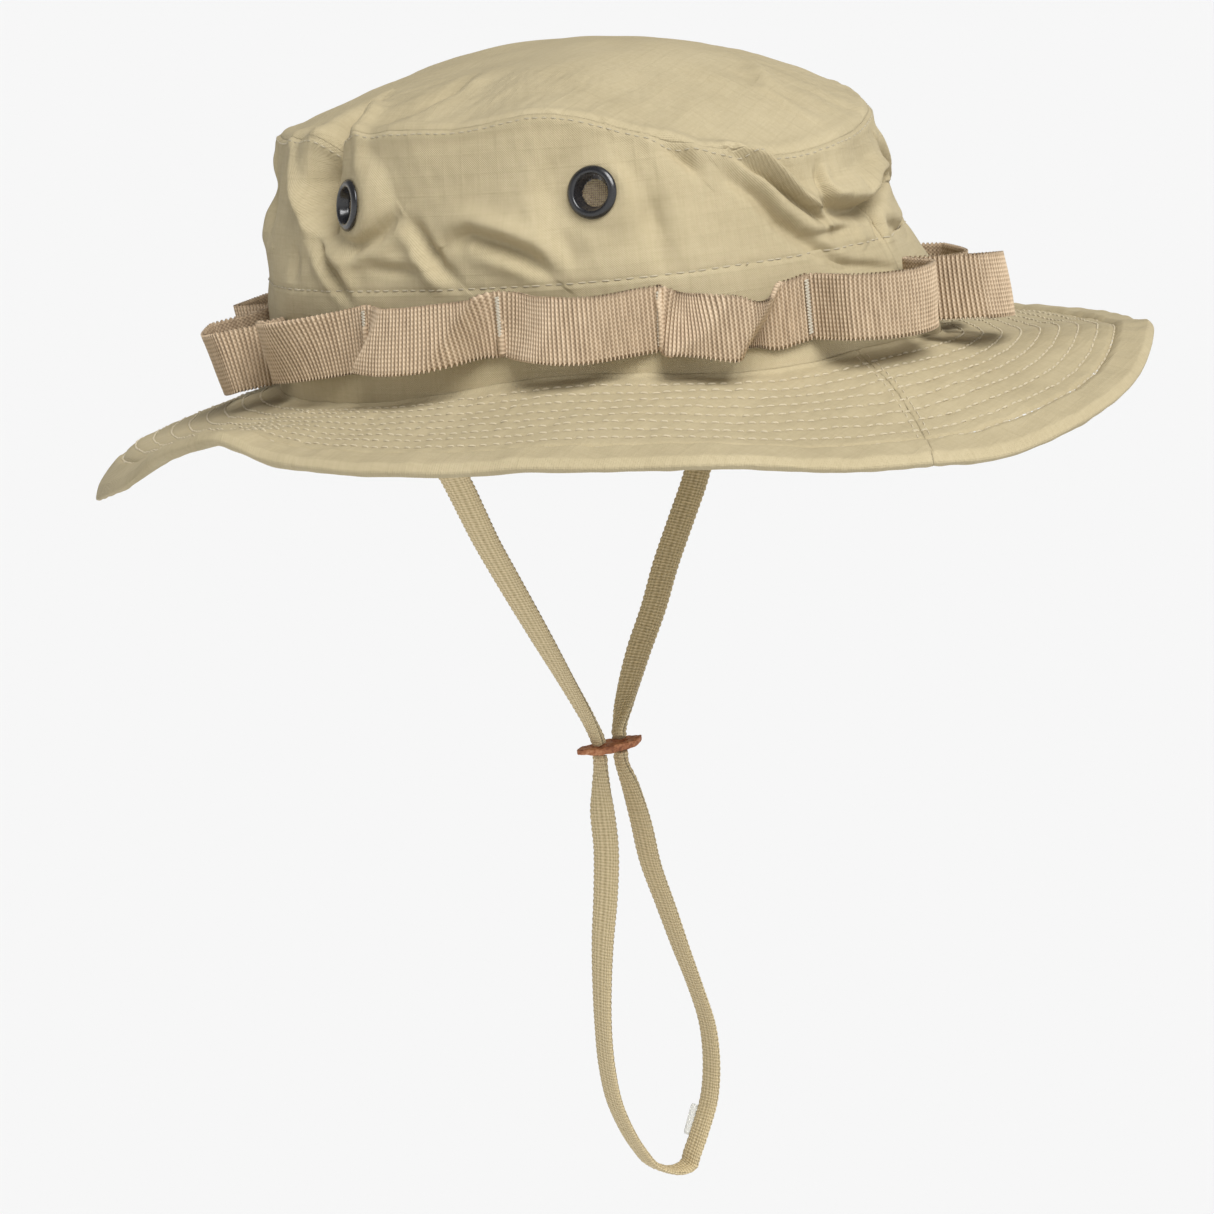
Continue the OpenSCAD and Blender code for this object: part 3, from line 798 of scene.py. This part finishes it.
# How far each loop's foot hangs over the tack before it
LOOP_HANG = [0, 0, 1, 0, 1, 0, 0, 0, 0.5, 3, 1.5, 4, 0, 0]
# How far each loop's lower edge stands out past its upper one
LOOP_LEAN = [0, 0.5, 0, 0.5, 0, 0, -2, -5, -4.5, 3.5, 3, 1, 0, 2.3]
# Folds of a loop, at its lower and then its upper edge: the shares of its length where it starts and ends
# rising, and where it starts and ends falling
EVEN_FOLDS = ((0.03, 0.25, 0.75, 0.97), (0.03, 0.25, 0.75, 0.97))
LOOP_FOLDS = {
    8: ((-0.02, 0.06, 0.12, 0.9), (0.0, 0.08, 0.37, 0.95)),
    9: ((0.0, 0.10, 0.55, 0.95), (0.05, 0.32, 0.88, 1.0)),
    10: ((0.02, 0.27, 0.45, 1.0), (0.1, 0.5, 0.6, 1.0)),
    11: ((0.0, 0.12, 0.36, 0.55), (0.1, 0.4, 0.6, 0.85)),
    12: ((0.02, 0.12, 0.86, 1.0), (0.02, 0.12, 0.86, 1.0)),
}
LOOPS = len(LOOP_BULGE)
LOOP_STEP = 360 / LOOPS
FIRST_TACK = 24.2
BAND_HEIGHT = 10
BAND_WIDTH = 18
BAND_THICKNESS = 1.3
# Distance between the webbing's ribs, and how many points lie along it
RIB = 1.3
BAND_POINTS = 4200


def tack_out(a):
    """How far out the webbing's inner face lies where it is tacked to the crown."""
    heights = np.linspace(BAND_HEIGHT - 4, BAND_HEIGHT + BAND_WIDTH + 6, 6)
    return 0.3 + np.max([wall_out(a, z / seam_height(a)) for z in heights], axis=0)


def loop_value(values, t):
    """The value for the loop that the place t is on."""
    return np.asarray(values, float)[np.floor(t).astype(int) % LOOPS]


def band_low(t):
    """Height of the webbing's lower edge at the place t."""
    f = t - np.floor(t)
    sag = loop_value(LOOP_SAG, t) * np.sin(np.pi * f)
    return BAND_HEIGHT + loop_value(TACK_LIFT, t) * (1 - f) + loop_value(TACK_LIFT, t + 1) * f - sag


def loop_share(t, up):
    """How far out the webbing is between its tacks, from 0 at a tack to 1 on a loop's face."""
    f = t - np.floor(t)
    folds = loop_value([LOOP_FOLDS.get(i, EVEN_FOLDS) for i in range(LOOPS)], t)
    up = up[..., None]
    place = folds[..., 0, :] * (1 - up) + folds[..., 1, :] * up
    rise = smooth(f, place[..., 0], place[..., 1])
    fall = smooth(f, place[..., 2], place[..., 3])
    end = np.sin(np.pi * f) ** 0.35
    return rise * (1 - fall) * end


def band_grid(t, up):
    """The webbing's outer face; t counts loops and up goes from 0 to 1 across the webbing."""
    f = t - np.floor(t)
    share = loop_share(t, up)
    a = FIRST_TACK + t * LOOP_STEP
    lean = loop_value(LOOP_LEAN, t) * (0.5 - up) * share
    flutter = 0.35 * waves(t * 30, up * 16, 26, 40) * share
    out = tack_out(a) + loop_value(LOOP_BULGE, t) * share + BAND_THICKNESS + lean + flutter
    a = a - loop_value(LOOP_HANG, t) * (1 - up) * hill(f - 0.10, 0.09) / ROUND
    twist = loop_value(LOOP_BULGE, t) * (loop_share(t, 0 * up) - loop_share(t, 0 * up + 1))
    upright = np.sqrt(np.clip(1 - (twist / BAND_WIDTH) ** 2, 0.5, 1))
    z = band_low(t) + BAND_WIDTH * (1 - upright) / 2 + BAND_WIDTH * upright * up
    return np.stack([*oval(a, out), z], -1)


def even_places(count):
    """Places round the webbing, counted in loops, that are the same length of webbing apart."""
    t = np.linspace(0, LOOPS, LOOPS * 1000 + 1)
    middle = band_grid(t, np.full(t.shape, 0.5))
    run = run_along(middle)
    return np.interp(np.linspace(0, run[-1], count, endpoint=False), run, t), run[-1]


def add_band(webbing, thread):
    places, length = even_places(BAND_POINTS)
    t, up = np.meshgrid(places, np.linspace(0, 1, 18))
    grid = band_grid(t, up)
    rib = np.arange(BAND_POINTS) / BAND_POINTS * round(length / RIB)
    wave = np.cos(2 * np.pi * rib)
    normal = grid_normals(grid, ring=True)
    grid = grid + normal * (0.16 * wave - 0.1)[None, :, None]
    edge = hill(np.minimum(up, 1 - up), 0.03) * np.sign(up - 0.5)
    grid[..., 2] += edge * 0.28 * wave
    uv = np.stack(np.broadcast_arrays(rib[None, :], up * BAND_WIDTH), -1)
    band = shell("foliage_webbing", grid, uv, BAND_THICKNESS - 0.2, ring=True)
    finish_piece(band, "hat", "webbing", webbing, "foliage_band")
    bars = []
    up = np.linspace(0.08, 0.92, 130)
    sway = 0.55 * np.sin(up * 2 * np.pi * 21)
    for i in range(LOOPS):
        place = band_grid(np.full_like(up, i + 0.0001), up)
        across = unit(band_grid(np.full_like(up, i + 0.01), up) - place)
        normal = unit(np.cross(across, (0, 0, 1.0)))
        bars.append((place + across * sway[:, None] + normal * 0.22, normal))
    obj = merged_tubes("band_bar_tacks", bars, 0.26)
    finish_piece(obj, "hat", "thread", thread, "band_tacks")


def merged_tubes(name, lines, radius):
    """Thin tubes with six sides along lines, in one mesh."""
    sides = 6
    points, quads, start = [], [], 0
    turn = even_turns(sides)
    for line, up in lines:
        along = unit(np.gradient(line, axis=0))
        side = unit(np.cross(along, up))
        other = np.cross(along, side)
        ring = np.cos(turn)[None, :, None] * side[:, None] + np.sin(turn)[None, :, None] * other[:, None]
        points.append((line[:, None] + radius * ring).reshape(-1, 3))
        quads.append(grid_faces(len(line), sides, ring=True) + start)
        quads += [cap + start for cap in six_sided_caps(len(line))]
        start += len(line) * sides
    points = np.concatenate(points)
    return mesh_object(name, points, np.concatenate(quads), MM, points[:, :2])


# ---- vents ----

# Radii of the barrel, the screen in it and the flange round it
BARREL = 4.4
SCREEN = 3.75
FLANGE = 7.4
# Distance between the screen's wires, their radius, and how deep the screen lies
WIRE_PITCH = 0.62
WIRE_RADIUS = 0.13
SCREEN_DEPTH = 1.9


def vent_frame(angle, turn):
    """Middle of a vent on the cloth, and the direction that it faces."""
    a, z = np.array([angle], float), np.array([VENT_HEIGHT])
    mid = wall_grid(a, z, relief=False)[0]
    along = wall_grid(a + 1, z, relief=False)[0] - wall_grid(a - 1, z, relief=False)[0]
    up = wall_grid(a, z + 1, relief=False)[0] - wall_grid(a, z - 1, relief=False)[0]
    x, y, z = unit(np.cross(along, up))
    return mid, np.array([*turned(x, y, turn), z])


def screen_wires(mid, axis, radius):
    """Lines of a woven wire screen across a vent."""
    side = unit(np.cross(axis, (0, 0, 1.0)))
    other = np.cross(side, axis)
    count = int(radius / WIRE_PITCH)
    lines = []
    for k in range(-count, count + 1):
        half = math.sqrt(radius ** 2 - (k * WIRE_PITCH) ** 2)
        s = np.linspace(-half, half, max(4, int(half * 10)))
        bob = 0.1 * np.cos(np.pi * s / WIRE_PITCH + k * np.pi)
        for a, b, sign in ((side, other, 1), (other, side, -1)):
            line = mid + s[:, None] * a + k * WIRE_PITCH * b + axis * (sign * bob - SCREEN_DEPTH)[:, None]
            lines.append((line, np.broadcast_to(axis, line.shape)))
    return lines


def add_vents(enamel, wire):
    ring = [
        (SCREEN, -2.2), (BARREL + 0.5, -2.2), (BARREL + 0.5, 0.15), (FLANGE - 0.2, 0.12), (FLANGE, 0.3),
        (FLANGE - 0.1, 0.65), (FLANGE - 0.5, 1.05), (FLANGE - 1.1, 1.4), (FLANGE - 1.8, 1.5),
        (FLANGE - 2.2, 1.2), (BARREL + 0.6, 0.6), (BARREL - 0.1, -0.9), (SCREEN, -2.1),
    ]
    washer = [(BARREL + 0.6, -2.1), (BARREL + 0.6, -1.7), (BARREL + 2.4, -1.6), (BARREL + 2.6, -1.8),
              (BARREL + 2.4, -2.05)]
    for i, (angle, turn) in enumerate(zip(VENTS, VENT_TURN), 1):
        mid, axis = vent_frame(angle, turn)
        for name, outline, sides in (("eyelet", ring, 96), ("washer", washer, 64)):
            piece = lathe(f"vent_{name}_ring_{i}", outline, mid, axis, sides)
            finish_piece(piece, "hat", "eyelet_metal", enamel, f"vent_{name}_{i}")
        mesh = merged_tubes(f"vent_screen_wires_{i}", screen_wires(mid, axis, SCREEN + 0.1), WIRE_RADIUS)
        finish_piece(mesh, "hat", "screen_wire", wire, f"vent_screen_{i}")


# ---- chin cord ----

CORD_WIDTH = 9
CORD_THICKNESS = 2.2
# The clear tip on the cord's end: its outline as (radius, height), its middle and its direction
TIP_OUTLINE = [
    (0.02, -4.9), (0.8, -4.9), (1.1, -4.5), (1.2, -3.6), (1.12, -3.2), (1.2, -2.8),
    (1.2, 2.8), (1.12, 3.2), (1.2, 3.6), (1.1, 4.4), (0.8, 4.8), (0.02, 4.8),
]
TIP_MIDDLE = (-8.3, 16.2, -241.6)
TIP_AXIS = (0.169, 0.401, 0.9)
# The keeper's middle, the direction of its length in degrees, half its length, and its holes' distance from
# its middle and their radius
KEEPER = (-12, -2, -117)
KEEPER_TURN = 65
KEEPER_HALF = 11.5
HOLE_OUT = 3.8
HOLE_RADIUS = 2.4

# The same routes as the CAD's: place, direction of the cord's width in degrees, and its width
LEFT_ROUTE = [
    (-10, 78, 7, 0, 9), (-10, 78, 1, 0, 9), (-8, 75, -6, 4, 9), (-5, 70, -14, 10, 9),
    (-4, 64, -24, 10, 9), (-4, 57, -34, 10, 9), (-4, 50, -44, 10, 9), (-6, 42, -56, 10, 9),
    (-8, 34, -68, 8, 9), (-9, 26, -80, 5, 9), (-11, 18, -92, 0, 9), (-12, 10, -104, -10, 8),
    (-11, 3, -112, -25, 5), (-10.4, 1.4, -115, -25, 4.4),
]
RIGHT_ROUTE = [
    (-10, -78, 7, 0, 9), (-10, -78, 1, 0, 9), (-12, -75, -6, 8, 9), (-15, -69, -14, 20, 9),
    (-16, -61, -24, 20, 9), (-17, -54, -34, 15, 9), (-18, -47, -44, 10, 9), (-18, -39, -56, 6, 9),
    (-17, -32, -68, 0, 9), (-16, -25, -80, -8, 9), (-15, -18, -92, -16, 8.5),
    (-14, -11, -104, -22, 7.5), (-13.6, -6.6, -112, -25, 5), (-13.6, -5.4, -115, -25, 4.4),
]
LOOP_ROUTE = [
    (-13.6, -5.4, -119, -25, 4.4), (-13.5, -6, -123, -25, 6), (-13.5, -7.5, -135, -5, 9),
    (-13, -8.5, -148, 0, 9), (-14, -10, -162, -4, 9), (-15.5, -12, -176, -12, 9),
    (-16.5, -13.5, -190, -20, 9), (-17, -14.5, -203, -25, 9), (-17.5, -14, -215, -25, 9),
    (-17.5, -12, -227, -25, 9), (-16.5, -8, -238, -25, 9), (-15, -4, -246, -25, 9),
    (-13, -1, -251, -25, 9), (-9.5, 4.5, -254.5, -25, 9), (-6.5, 8.5, -254, -25, 9),
    (-5, 10, -250, -25, 9), (-3, 13, -243, -25, 9), (-1.5, 17.5, -234, -25, 9),
    (-1, 20, -223, -25, 9), (-1.5, 20.5, -211, -25, 9), (-3, 18, -198, -25, 9),
    (-4.5, 14.5, -185, -20, 9), (-6, 11, -171, -15, 9), (-7.5, 7, -156, -12, 9),
    (-7.5, 4, -142, -12, 9), (-9, 2.5, -130, -16, 8), (-10.4, 1.4, -123, -25, 6),
    (-10.4, 1.4, -119, -25, 4.4),
]


def smooth_line(values, step):
    """A smooth line through values, whose first three columns are places, with points step apart."""
    v = np.asarray(values, float)
    padded = np.concatenate([2 * v[:1] - v[1:2], v, 2 * v[-1:] - v[-2:-1]])
    pieces = []
    for p0, p1, p2, p3 in zip(padded, padded[1:], padded[2:], padded[3:]):
        t = np.linspace(0, 1, 24, endpoint=False)[:, None]
        square = (2 * p0 - 5 * p1 + 4 * p2 - p3) * t ** 2
        cube = (3 * p1 - p0 - 3 * p2 + p3) * t ** 3
        pieces.append(0.5 * (2 * p1 + (p2 - p0) * t + square + cube))
    line = np.concatenate(pieces + [v[-1:]])
    run = run_along(line[:, :3])
    at = np.linspace(0, run[-1], int(run[-1] / step) + 1)
    return points_at(line, run, at)


def braid(across, run):
    """Relief of a flat braid: slanting strands that meet in chevrons, three to each side of its middle."""
    column = np.floor(across / 1.5 + 0.5)
    slant = np.where(column % 2 == 0, 1, -1)
    strand = np.cos(2 * np.pi * (run + slant * across * 0.9) / 1.9)
    between = np.cos(np.pi * (across / 1.5 - column))
    return 0.17 * strand * np.maximum(between, 0) - 0.12 * (1 - np.maximum(between, 0))


def add_cord(name, route, node, material):
    line = smooth_line(route, 0.45)
    centres, turn, width = line[:, :3], line[:, 3], line[:, 4]
    wide = np.stack([cosd(turn), sind(turn), 0 * turn], -1)
    depth = CORD_THICKNESS + 0.4 * (CORD_WIDTH - width)
    obj = tube(name, centres, wide, width / 2 - 0.1, depth / 2 - 0.05, 36, 0.75, braid)
    obj.data.materials.append(material)
    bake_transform(obj)
    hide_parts(node)
    length = float(run_along(centres)[-1]) / 1000
    path = [tuple(p / 1000) for p in [*centres[:-3:6], centres[-1]]]
    return obj, round(length, 3), path


def add_chin_cord(cord, clear):
    for side, route in (("left", LEFT_ROUTE), ("right", RIGHT_ROUTE)):
        obj, length, path = add_cord("chin_cord_strand_" + side, route, "chin_cord_" + side,
                                     cord)
    obj, length, path = add_cord("chin_cord_under_loop", LOOP_ROUTE, "chin_cord_loop",
                                 cord)
    tip = lathe("clear_cord_tip", TIP_OUTLINE, np.array(TIP_MIDDLE), TIP_AXIS, 32)
    finish_piece(tip, "loop", "clear_tip", clear, "cord_end_tip")


def add_keeper(leather):
    """The leather keeper: the CAD's shape with edges worn round and a surface that is not quite flat."""
    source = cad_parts["cord_slider"]
    obj = bpy.data.objects.new("leather_keeper", source.data.copy())
    obj.data.materials.clear()
    bpy.context.collection.objects.link(obj)
    remesh = obj.modifiers.new("remesh", "REMESH")
    remesh.mode = "VOXEL"
    remesh.voxel_size = 0.0003
    soften = obj.modifiers.new("soften", "SMOOTH")
    soften.iterations = 6
    bpy.context.view_layer.update()
    worn = bpy.data.meshes.new_from_object(obj.evaluated_get(bpy.context.evaluated_depsgraph_get()))
    obj.modifiers.clear()
    obj.data = worn
    co = np.empty(len(worn.vertices) * 3)
    worn.vertices.foreach_get("co", co)
    x, y, z = (co.reshape(-1, 3) / MM - KEEPER).T
    x, y = turned(x, y, -KEEPER_TURN)
    to_end = (x / KEEPER_HALF) ** 2
    near_hole = np.minimum(np.hypot(x - HOLE_OUT, y), np.hypot(x + HOLE_OUT, y))
    free = smooth(near_hole, HOLE_RADIUS, 4.2)
    z = z * (0.72 - 0.3 * to_end) + 0.5 * to_end
    z = z + free * (0.2 * waves(x, y, 9, 71) + 0.08 * waves(x, y, 3, 72))
    y = y * (1 - 0.45 * free * to_end)
    co = np.stack([*turned(x, y, KEEPER_TURN), z], -1) + KEEPER
    worn.vertices.foreach_set("co", (co * MM).ravel())
    worn.polygons.foreach_set("use_smooth", np.ones(len(worn.polygons), bool))
    worn.update()
    finish_piece(obj, "slider", "leather", leather, "cord_slider")


# ---- materials ----

class Shader:
    """A node material, with short calls for the sums that its patterns are made of."""

    def __init__(self, name, colour, roughness):
        self.material = bpy.data.materials.new(name)
        self.material.use_nodes = True
        self.tree = self.material.node_tree
        self.surface = self.tree.nodes["Principled BSDF"]
        self.surface.inputs["Base Color"].default_value = (*colour, 1)
        self.surface.inputs["Roughness"].default_value = roughness

    def node(self, kind, **settings):
        node = self.tree.nodes.new("ShaderNode" + kind)
        for key, value in settings.items():
            setattr(node, key, value)
        return node

    def put(self, socket, value):
        if isinstance(value, bpy.types.NodeSocket):
            self.tree.links.new(value, socket)
        else:
            socket.default_value = value

    def sum(self, operation, a, b=0.0, c=0.0):
        node = self.node("Math", operation=operation)
        for socket, value in zip(node.inputs, (a, b, c)):
            self.put(socket, value)
        return node.outputs[0]

    def uv(self):
        split = self.node("SeparateXYZ")
        self.put(split.inputs[0], self.node("UVMap", uv_map="UVMap").outputs[0])
        return split.outputs[0], split.outputs[1]

    def place(self):
        """The point on the object, for pieces with no UV map; its unit is the metre."""
        return self.node("TexCoord").outputs["Object"]

    def vector(self, x, y, z=0.0):
        node = self.node("CombineXYZ")
        for socket, value in zip(node.inputs, (x, y, z)):
            self.put(socket, value)
        return node.outputs[0]

    def noise(self, vector, scale, detail=2.0):
        node = self.node("TexNoise")
        self.put(node.inputs["Vector"], vector)
        self.put(node.inputs["Scale"], scale)
        self.put(node.inputs["Detail"], detail)
        return node.outputs["Fac"]

    def times(self, x, k):
        return self.sum("MULTIPLY", x, k)

    def mixed(self, total, *parts):
        """A total with each part, times its weight, added to it."""
        for part, weight in parts:
            total = self.sum("MULTIPLY_ADD", part, weight, total)
        return total

    def wave(self, x, period):
        return self.sum("SINE", self.times(x, 2 * math.pi / period))

    def line(self, x, period, sharpness):
        """Thin lines: 1 on each line and nearly 0 between them."""
        half = self.sum("COSINE", self.times(x, math.pi / period))
        return self.sum("POWER", self.sum("ABSOLUTE", half), sharpness)

    def colour(self, value, *stops):
        """Colours the surface by a value, along a ramp of places and colours."""
        node = self.node("ValToRGB")
        self.put(node.inputs[0], value)
        points = node.color_ramp.elements
        while len(points) < len(stops):
            points.new(0.5)
        for point, (place, colour) in zip(points, stops):
            point.position = place
            point.color = (*colour, 1)
        self.put(self.surface.inputs["Base Color"], node.outputs[0])

    def rough(self, value):
        self.put(self.surface.inputs["Roughness"], value)

    def bump(self, height, distance):
        node = self.node("Bump")
        self.put(node.inputs["Height"], height)
        node.inputs["Distance"].default_value = distance
        node.inputs["Strength"].default_value = 1.0
        self.put(self.surface.inputs["Normal"], node.outputs[0])


def ripstop(name, dark, mid, light):
    """Fine plain weave with slubs, and a faint grid of heavier threads."""
    m = Shader(name, mid, 0.9)
    u, v = m.uv()
    across = m.noise(m.vector(m.times(u, 0.05), m.times(v, 0.9)), 1.6, 3)
    upright = m.noise(m.vector(m.times(u, 0.9), m.times(v, 0.05), 4.0), 1.6, 3)
    cloudy = m.noise(m.vector(u, v, 9.0), 0.035, 3)
    grid = m.sum("MAXIMUM", m.line(u, 5.5, 60), m.line(v, 5.5, 60))
    fine = m.noise(m.vector(u, v, 5.0), 0.9, 3)
    tone = m.mixed(0.14, (across, 0.16), (upright, 0.16), (fine, 0.14), (cloudy, 0.30), (grid, -0.02))
    m.colour(tone, (0.30, dark), (0.5, mid), (0.70, light))
    weave = m.times(m.wave(u, 0.62), m.wave(v, 0.62))
    m.bump(m.mixed(m.times(across, 0.6), (weave, 0.35), (upright, 0.6), (grid, 0.3)), 0.00016)
    return m.material


def webbing_material():
    """Ribbed webbing: u counts its ribs, and v is millimetres across it."""
    m = Shader("ribbed_webbing", (0.40, 0.29, 0.20), 0.85)
    u, v = m.uv()
    rib = m.wave(m.sum("ADD", u, 0.25), 1.0)
    half = m.sum("FLOOR", m.times(u, 2.0))
    cross = m.wave(m.mixed(v, (half, 0.6)), 1.2)
    slub = m.noise(m.vector(m.times(u, 0.7), m.times(v, 0.12)), 1.0, 3)
    tone = m.mixed(0.17, (rib, 0.2), (cross, 0.12), (slub, 0.5))
    m.colour(tone, (0.12, (0.27, 0.19, 0.12)), (0.45, (0.53, 0.40, 0.265)), (0.8, (0.72, 0.575, 0.41)))
    m.bump(m.mixed(rib, (cross, 0.5)), 0.00012)
    return m.material


def braid_material():
    """Flat braid: the strands' slant follows the relief of its mesh."""
    m = Shader("braided_cord", (0.46, 0.37, 0.22), 0.85)
    u, v = m.uv()
    crossing = m.times(m.wave(m.sum("ADD", u, v), 1.9), m.wave(m.sum("SUBTRACT", u, v), 1.9))
    fibres = m.noise(m.vector(m.times(u, 2.0), m.times(v, 0.6)), 1.6, 3)
    tone = m.mixed(0.17, (crossing, 0.28), (fibres, 0.6))
    m.colour(tone, (0.1, (0.38, 0.285, 0.145)), (0.45, (0.60, 0.485, 0.28)), (0.85, (0.80, 0.67, 0.43)))
    m.bump(m.mixed(crossing, (fibres, 0.6)), 0.00012)
    return m.material


def thread_material(name, colour):
    m = Shader(name, colour, 0.6)
    m.bump(m.wave(m.sum("ADD", *m.uv()), 0.35), 0.00005)
    return m.material


def enamel_material():
    m = Shader("black_enamel", (0.012, 0.012, 0.014), 0.25)
    wear = m.noise(m.place(), 900, 4)
    m.rough(m.mixed(0.12, (wear, 0.35)))
    m.bump(wear, 0.00002)
    m.surface.inputs["Coat Weight"].default_value = 0.5
    m.surface.inputs["Coat Roughness"].default_value = 0.12
    return m.material


def wire_material():
    m = Shader("screen_wire", (0.30, 0.24, 0.17), 0.5)
    m.surface.inputs["Metallic"].default_value = 0.5
    grime = m.noise(m.place(), 1500, 3)
    m.colour(grime, (0.3, (0.16, 0.12, 0.08)), (0.7, (0.40, 0.32, 0.23)))
    return m.material


def leather_material():
    m = Shader("brown_leather", (0.25, 0.08, 0.03), 0.65)
    grain = m.noise(m.place(), 1100, 5)
    blotch = m.noise(m.place(), 260, 3)
    tone = m.mixed(0.0, (grain, 0.5), (blotch, 0.5))
    m.colour(tone, (0.35, (0.20, 0.06, 0.02)), (0.5, (0.42, 0.16, 0.065)), (0.68, (0.66, 0.33, 0.17)))
    m.bump(grain, 0.0003)
    return m.material


def clear_material():
    m = Shader("clear_plastic", (0.9, 0.9, 0.86), 0.22)
    m.surface.inputs["Transmission Weight"].default_value = 0.55
    m.surface.inputs["IOR"].default_value = 1.46
    m.bump(m.noise(m.place(), 700, 2), 0.00005)
    return m.material


def plain_cloth(name, colour):
    """Fine fibres in shades of one colour; it needs no UV map."""
    m = Shader(name, colour, 0.85)
    fibres = m.noise(m.place(), 1800, 4)
    m.colour(fibres, (0.3, tuple(0.8 * c for c in colour)), (0.7, colour))
    m.bump(fibres, 0.0001)
    return m.material


def repaint(node, material):
    """Gives a CAD node that stays a better material."""
    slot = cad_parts[node].material_slots[0]
    slot.link = "OBJECT"
    slot.material = material


# ---- the hat ----

PALE = (0.72, 0.66, 0.54)

add_camera()
CORD = braid_material()
add_chin_cord(CORD, clear_material())
add_stage()
KHAKI = ripstop("khaki_ripstop", (0.37, 0.305, 0.18), (0.46, 0.385, 0.235), (0.535, 0.455, 0.29))
THREAD = thread_material("khaki_thread", (0.60, 0.53, 0.38))
BRIM_THREAD = thread_material("brim_thread", (0.70, 0.61, 0.43))
PALE_THREAD = thread_material("pale_thread", PALE)
ENAMEL = enamel_material()
WHITE = plain_cloth("white_cloth", (0.8, 0.8, 0.78))
add_crown(KHAKI, THREAD)
add_linings(KHAKI, WHITE)
add_brim(KHAKI, BRIM_THREAD, WHITE)
add_band(webbing_material(), PALE_THREAD)
add_vents(ENAMEL, wire_material())
add_keeper(leather_material())
for side in ("left", "right"):
    repaint("cord_anchor_" + side, plain_cloth("cord_end_braid", (0.44, 0.35, 0.205)))
repaint("anchor_tacks", plain_cloth("anchor_thread", PALE))
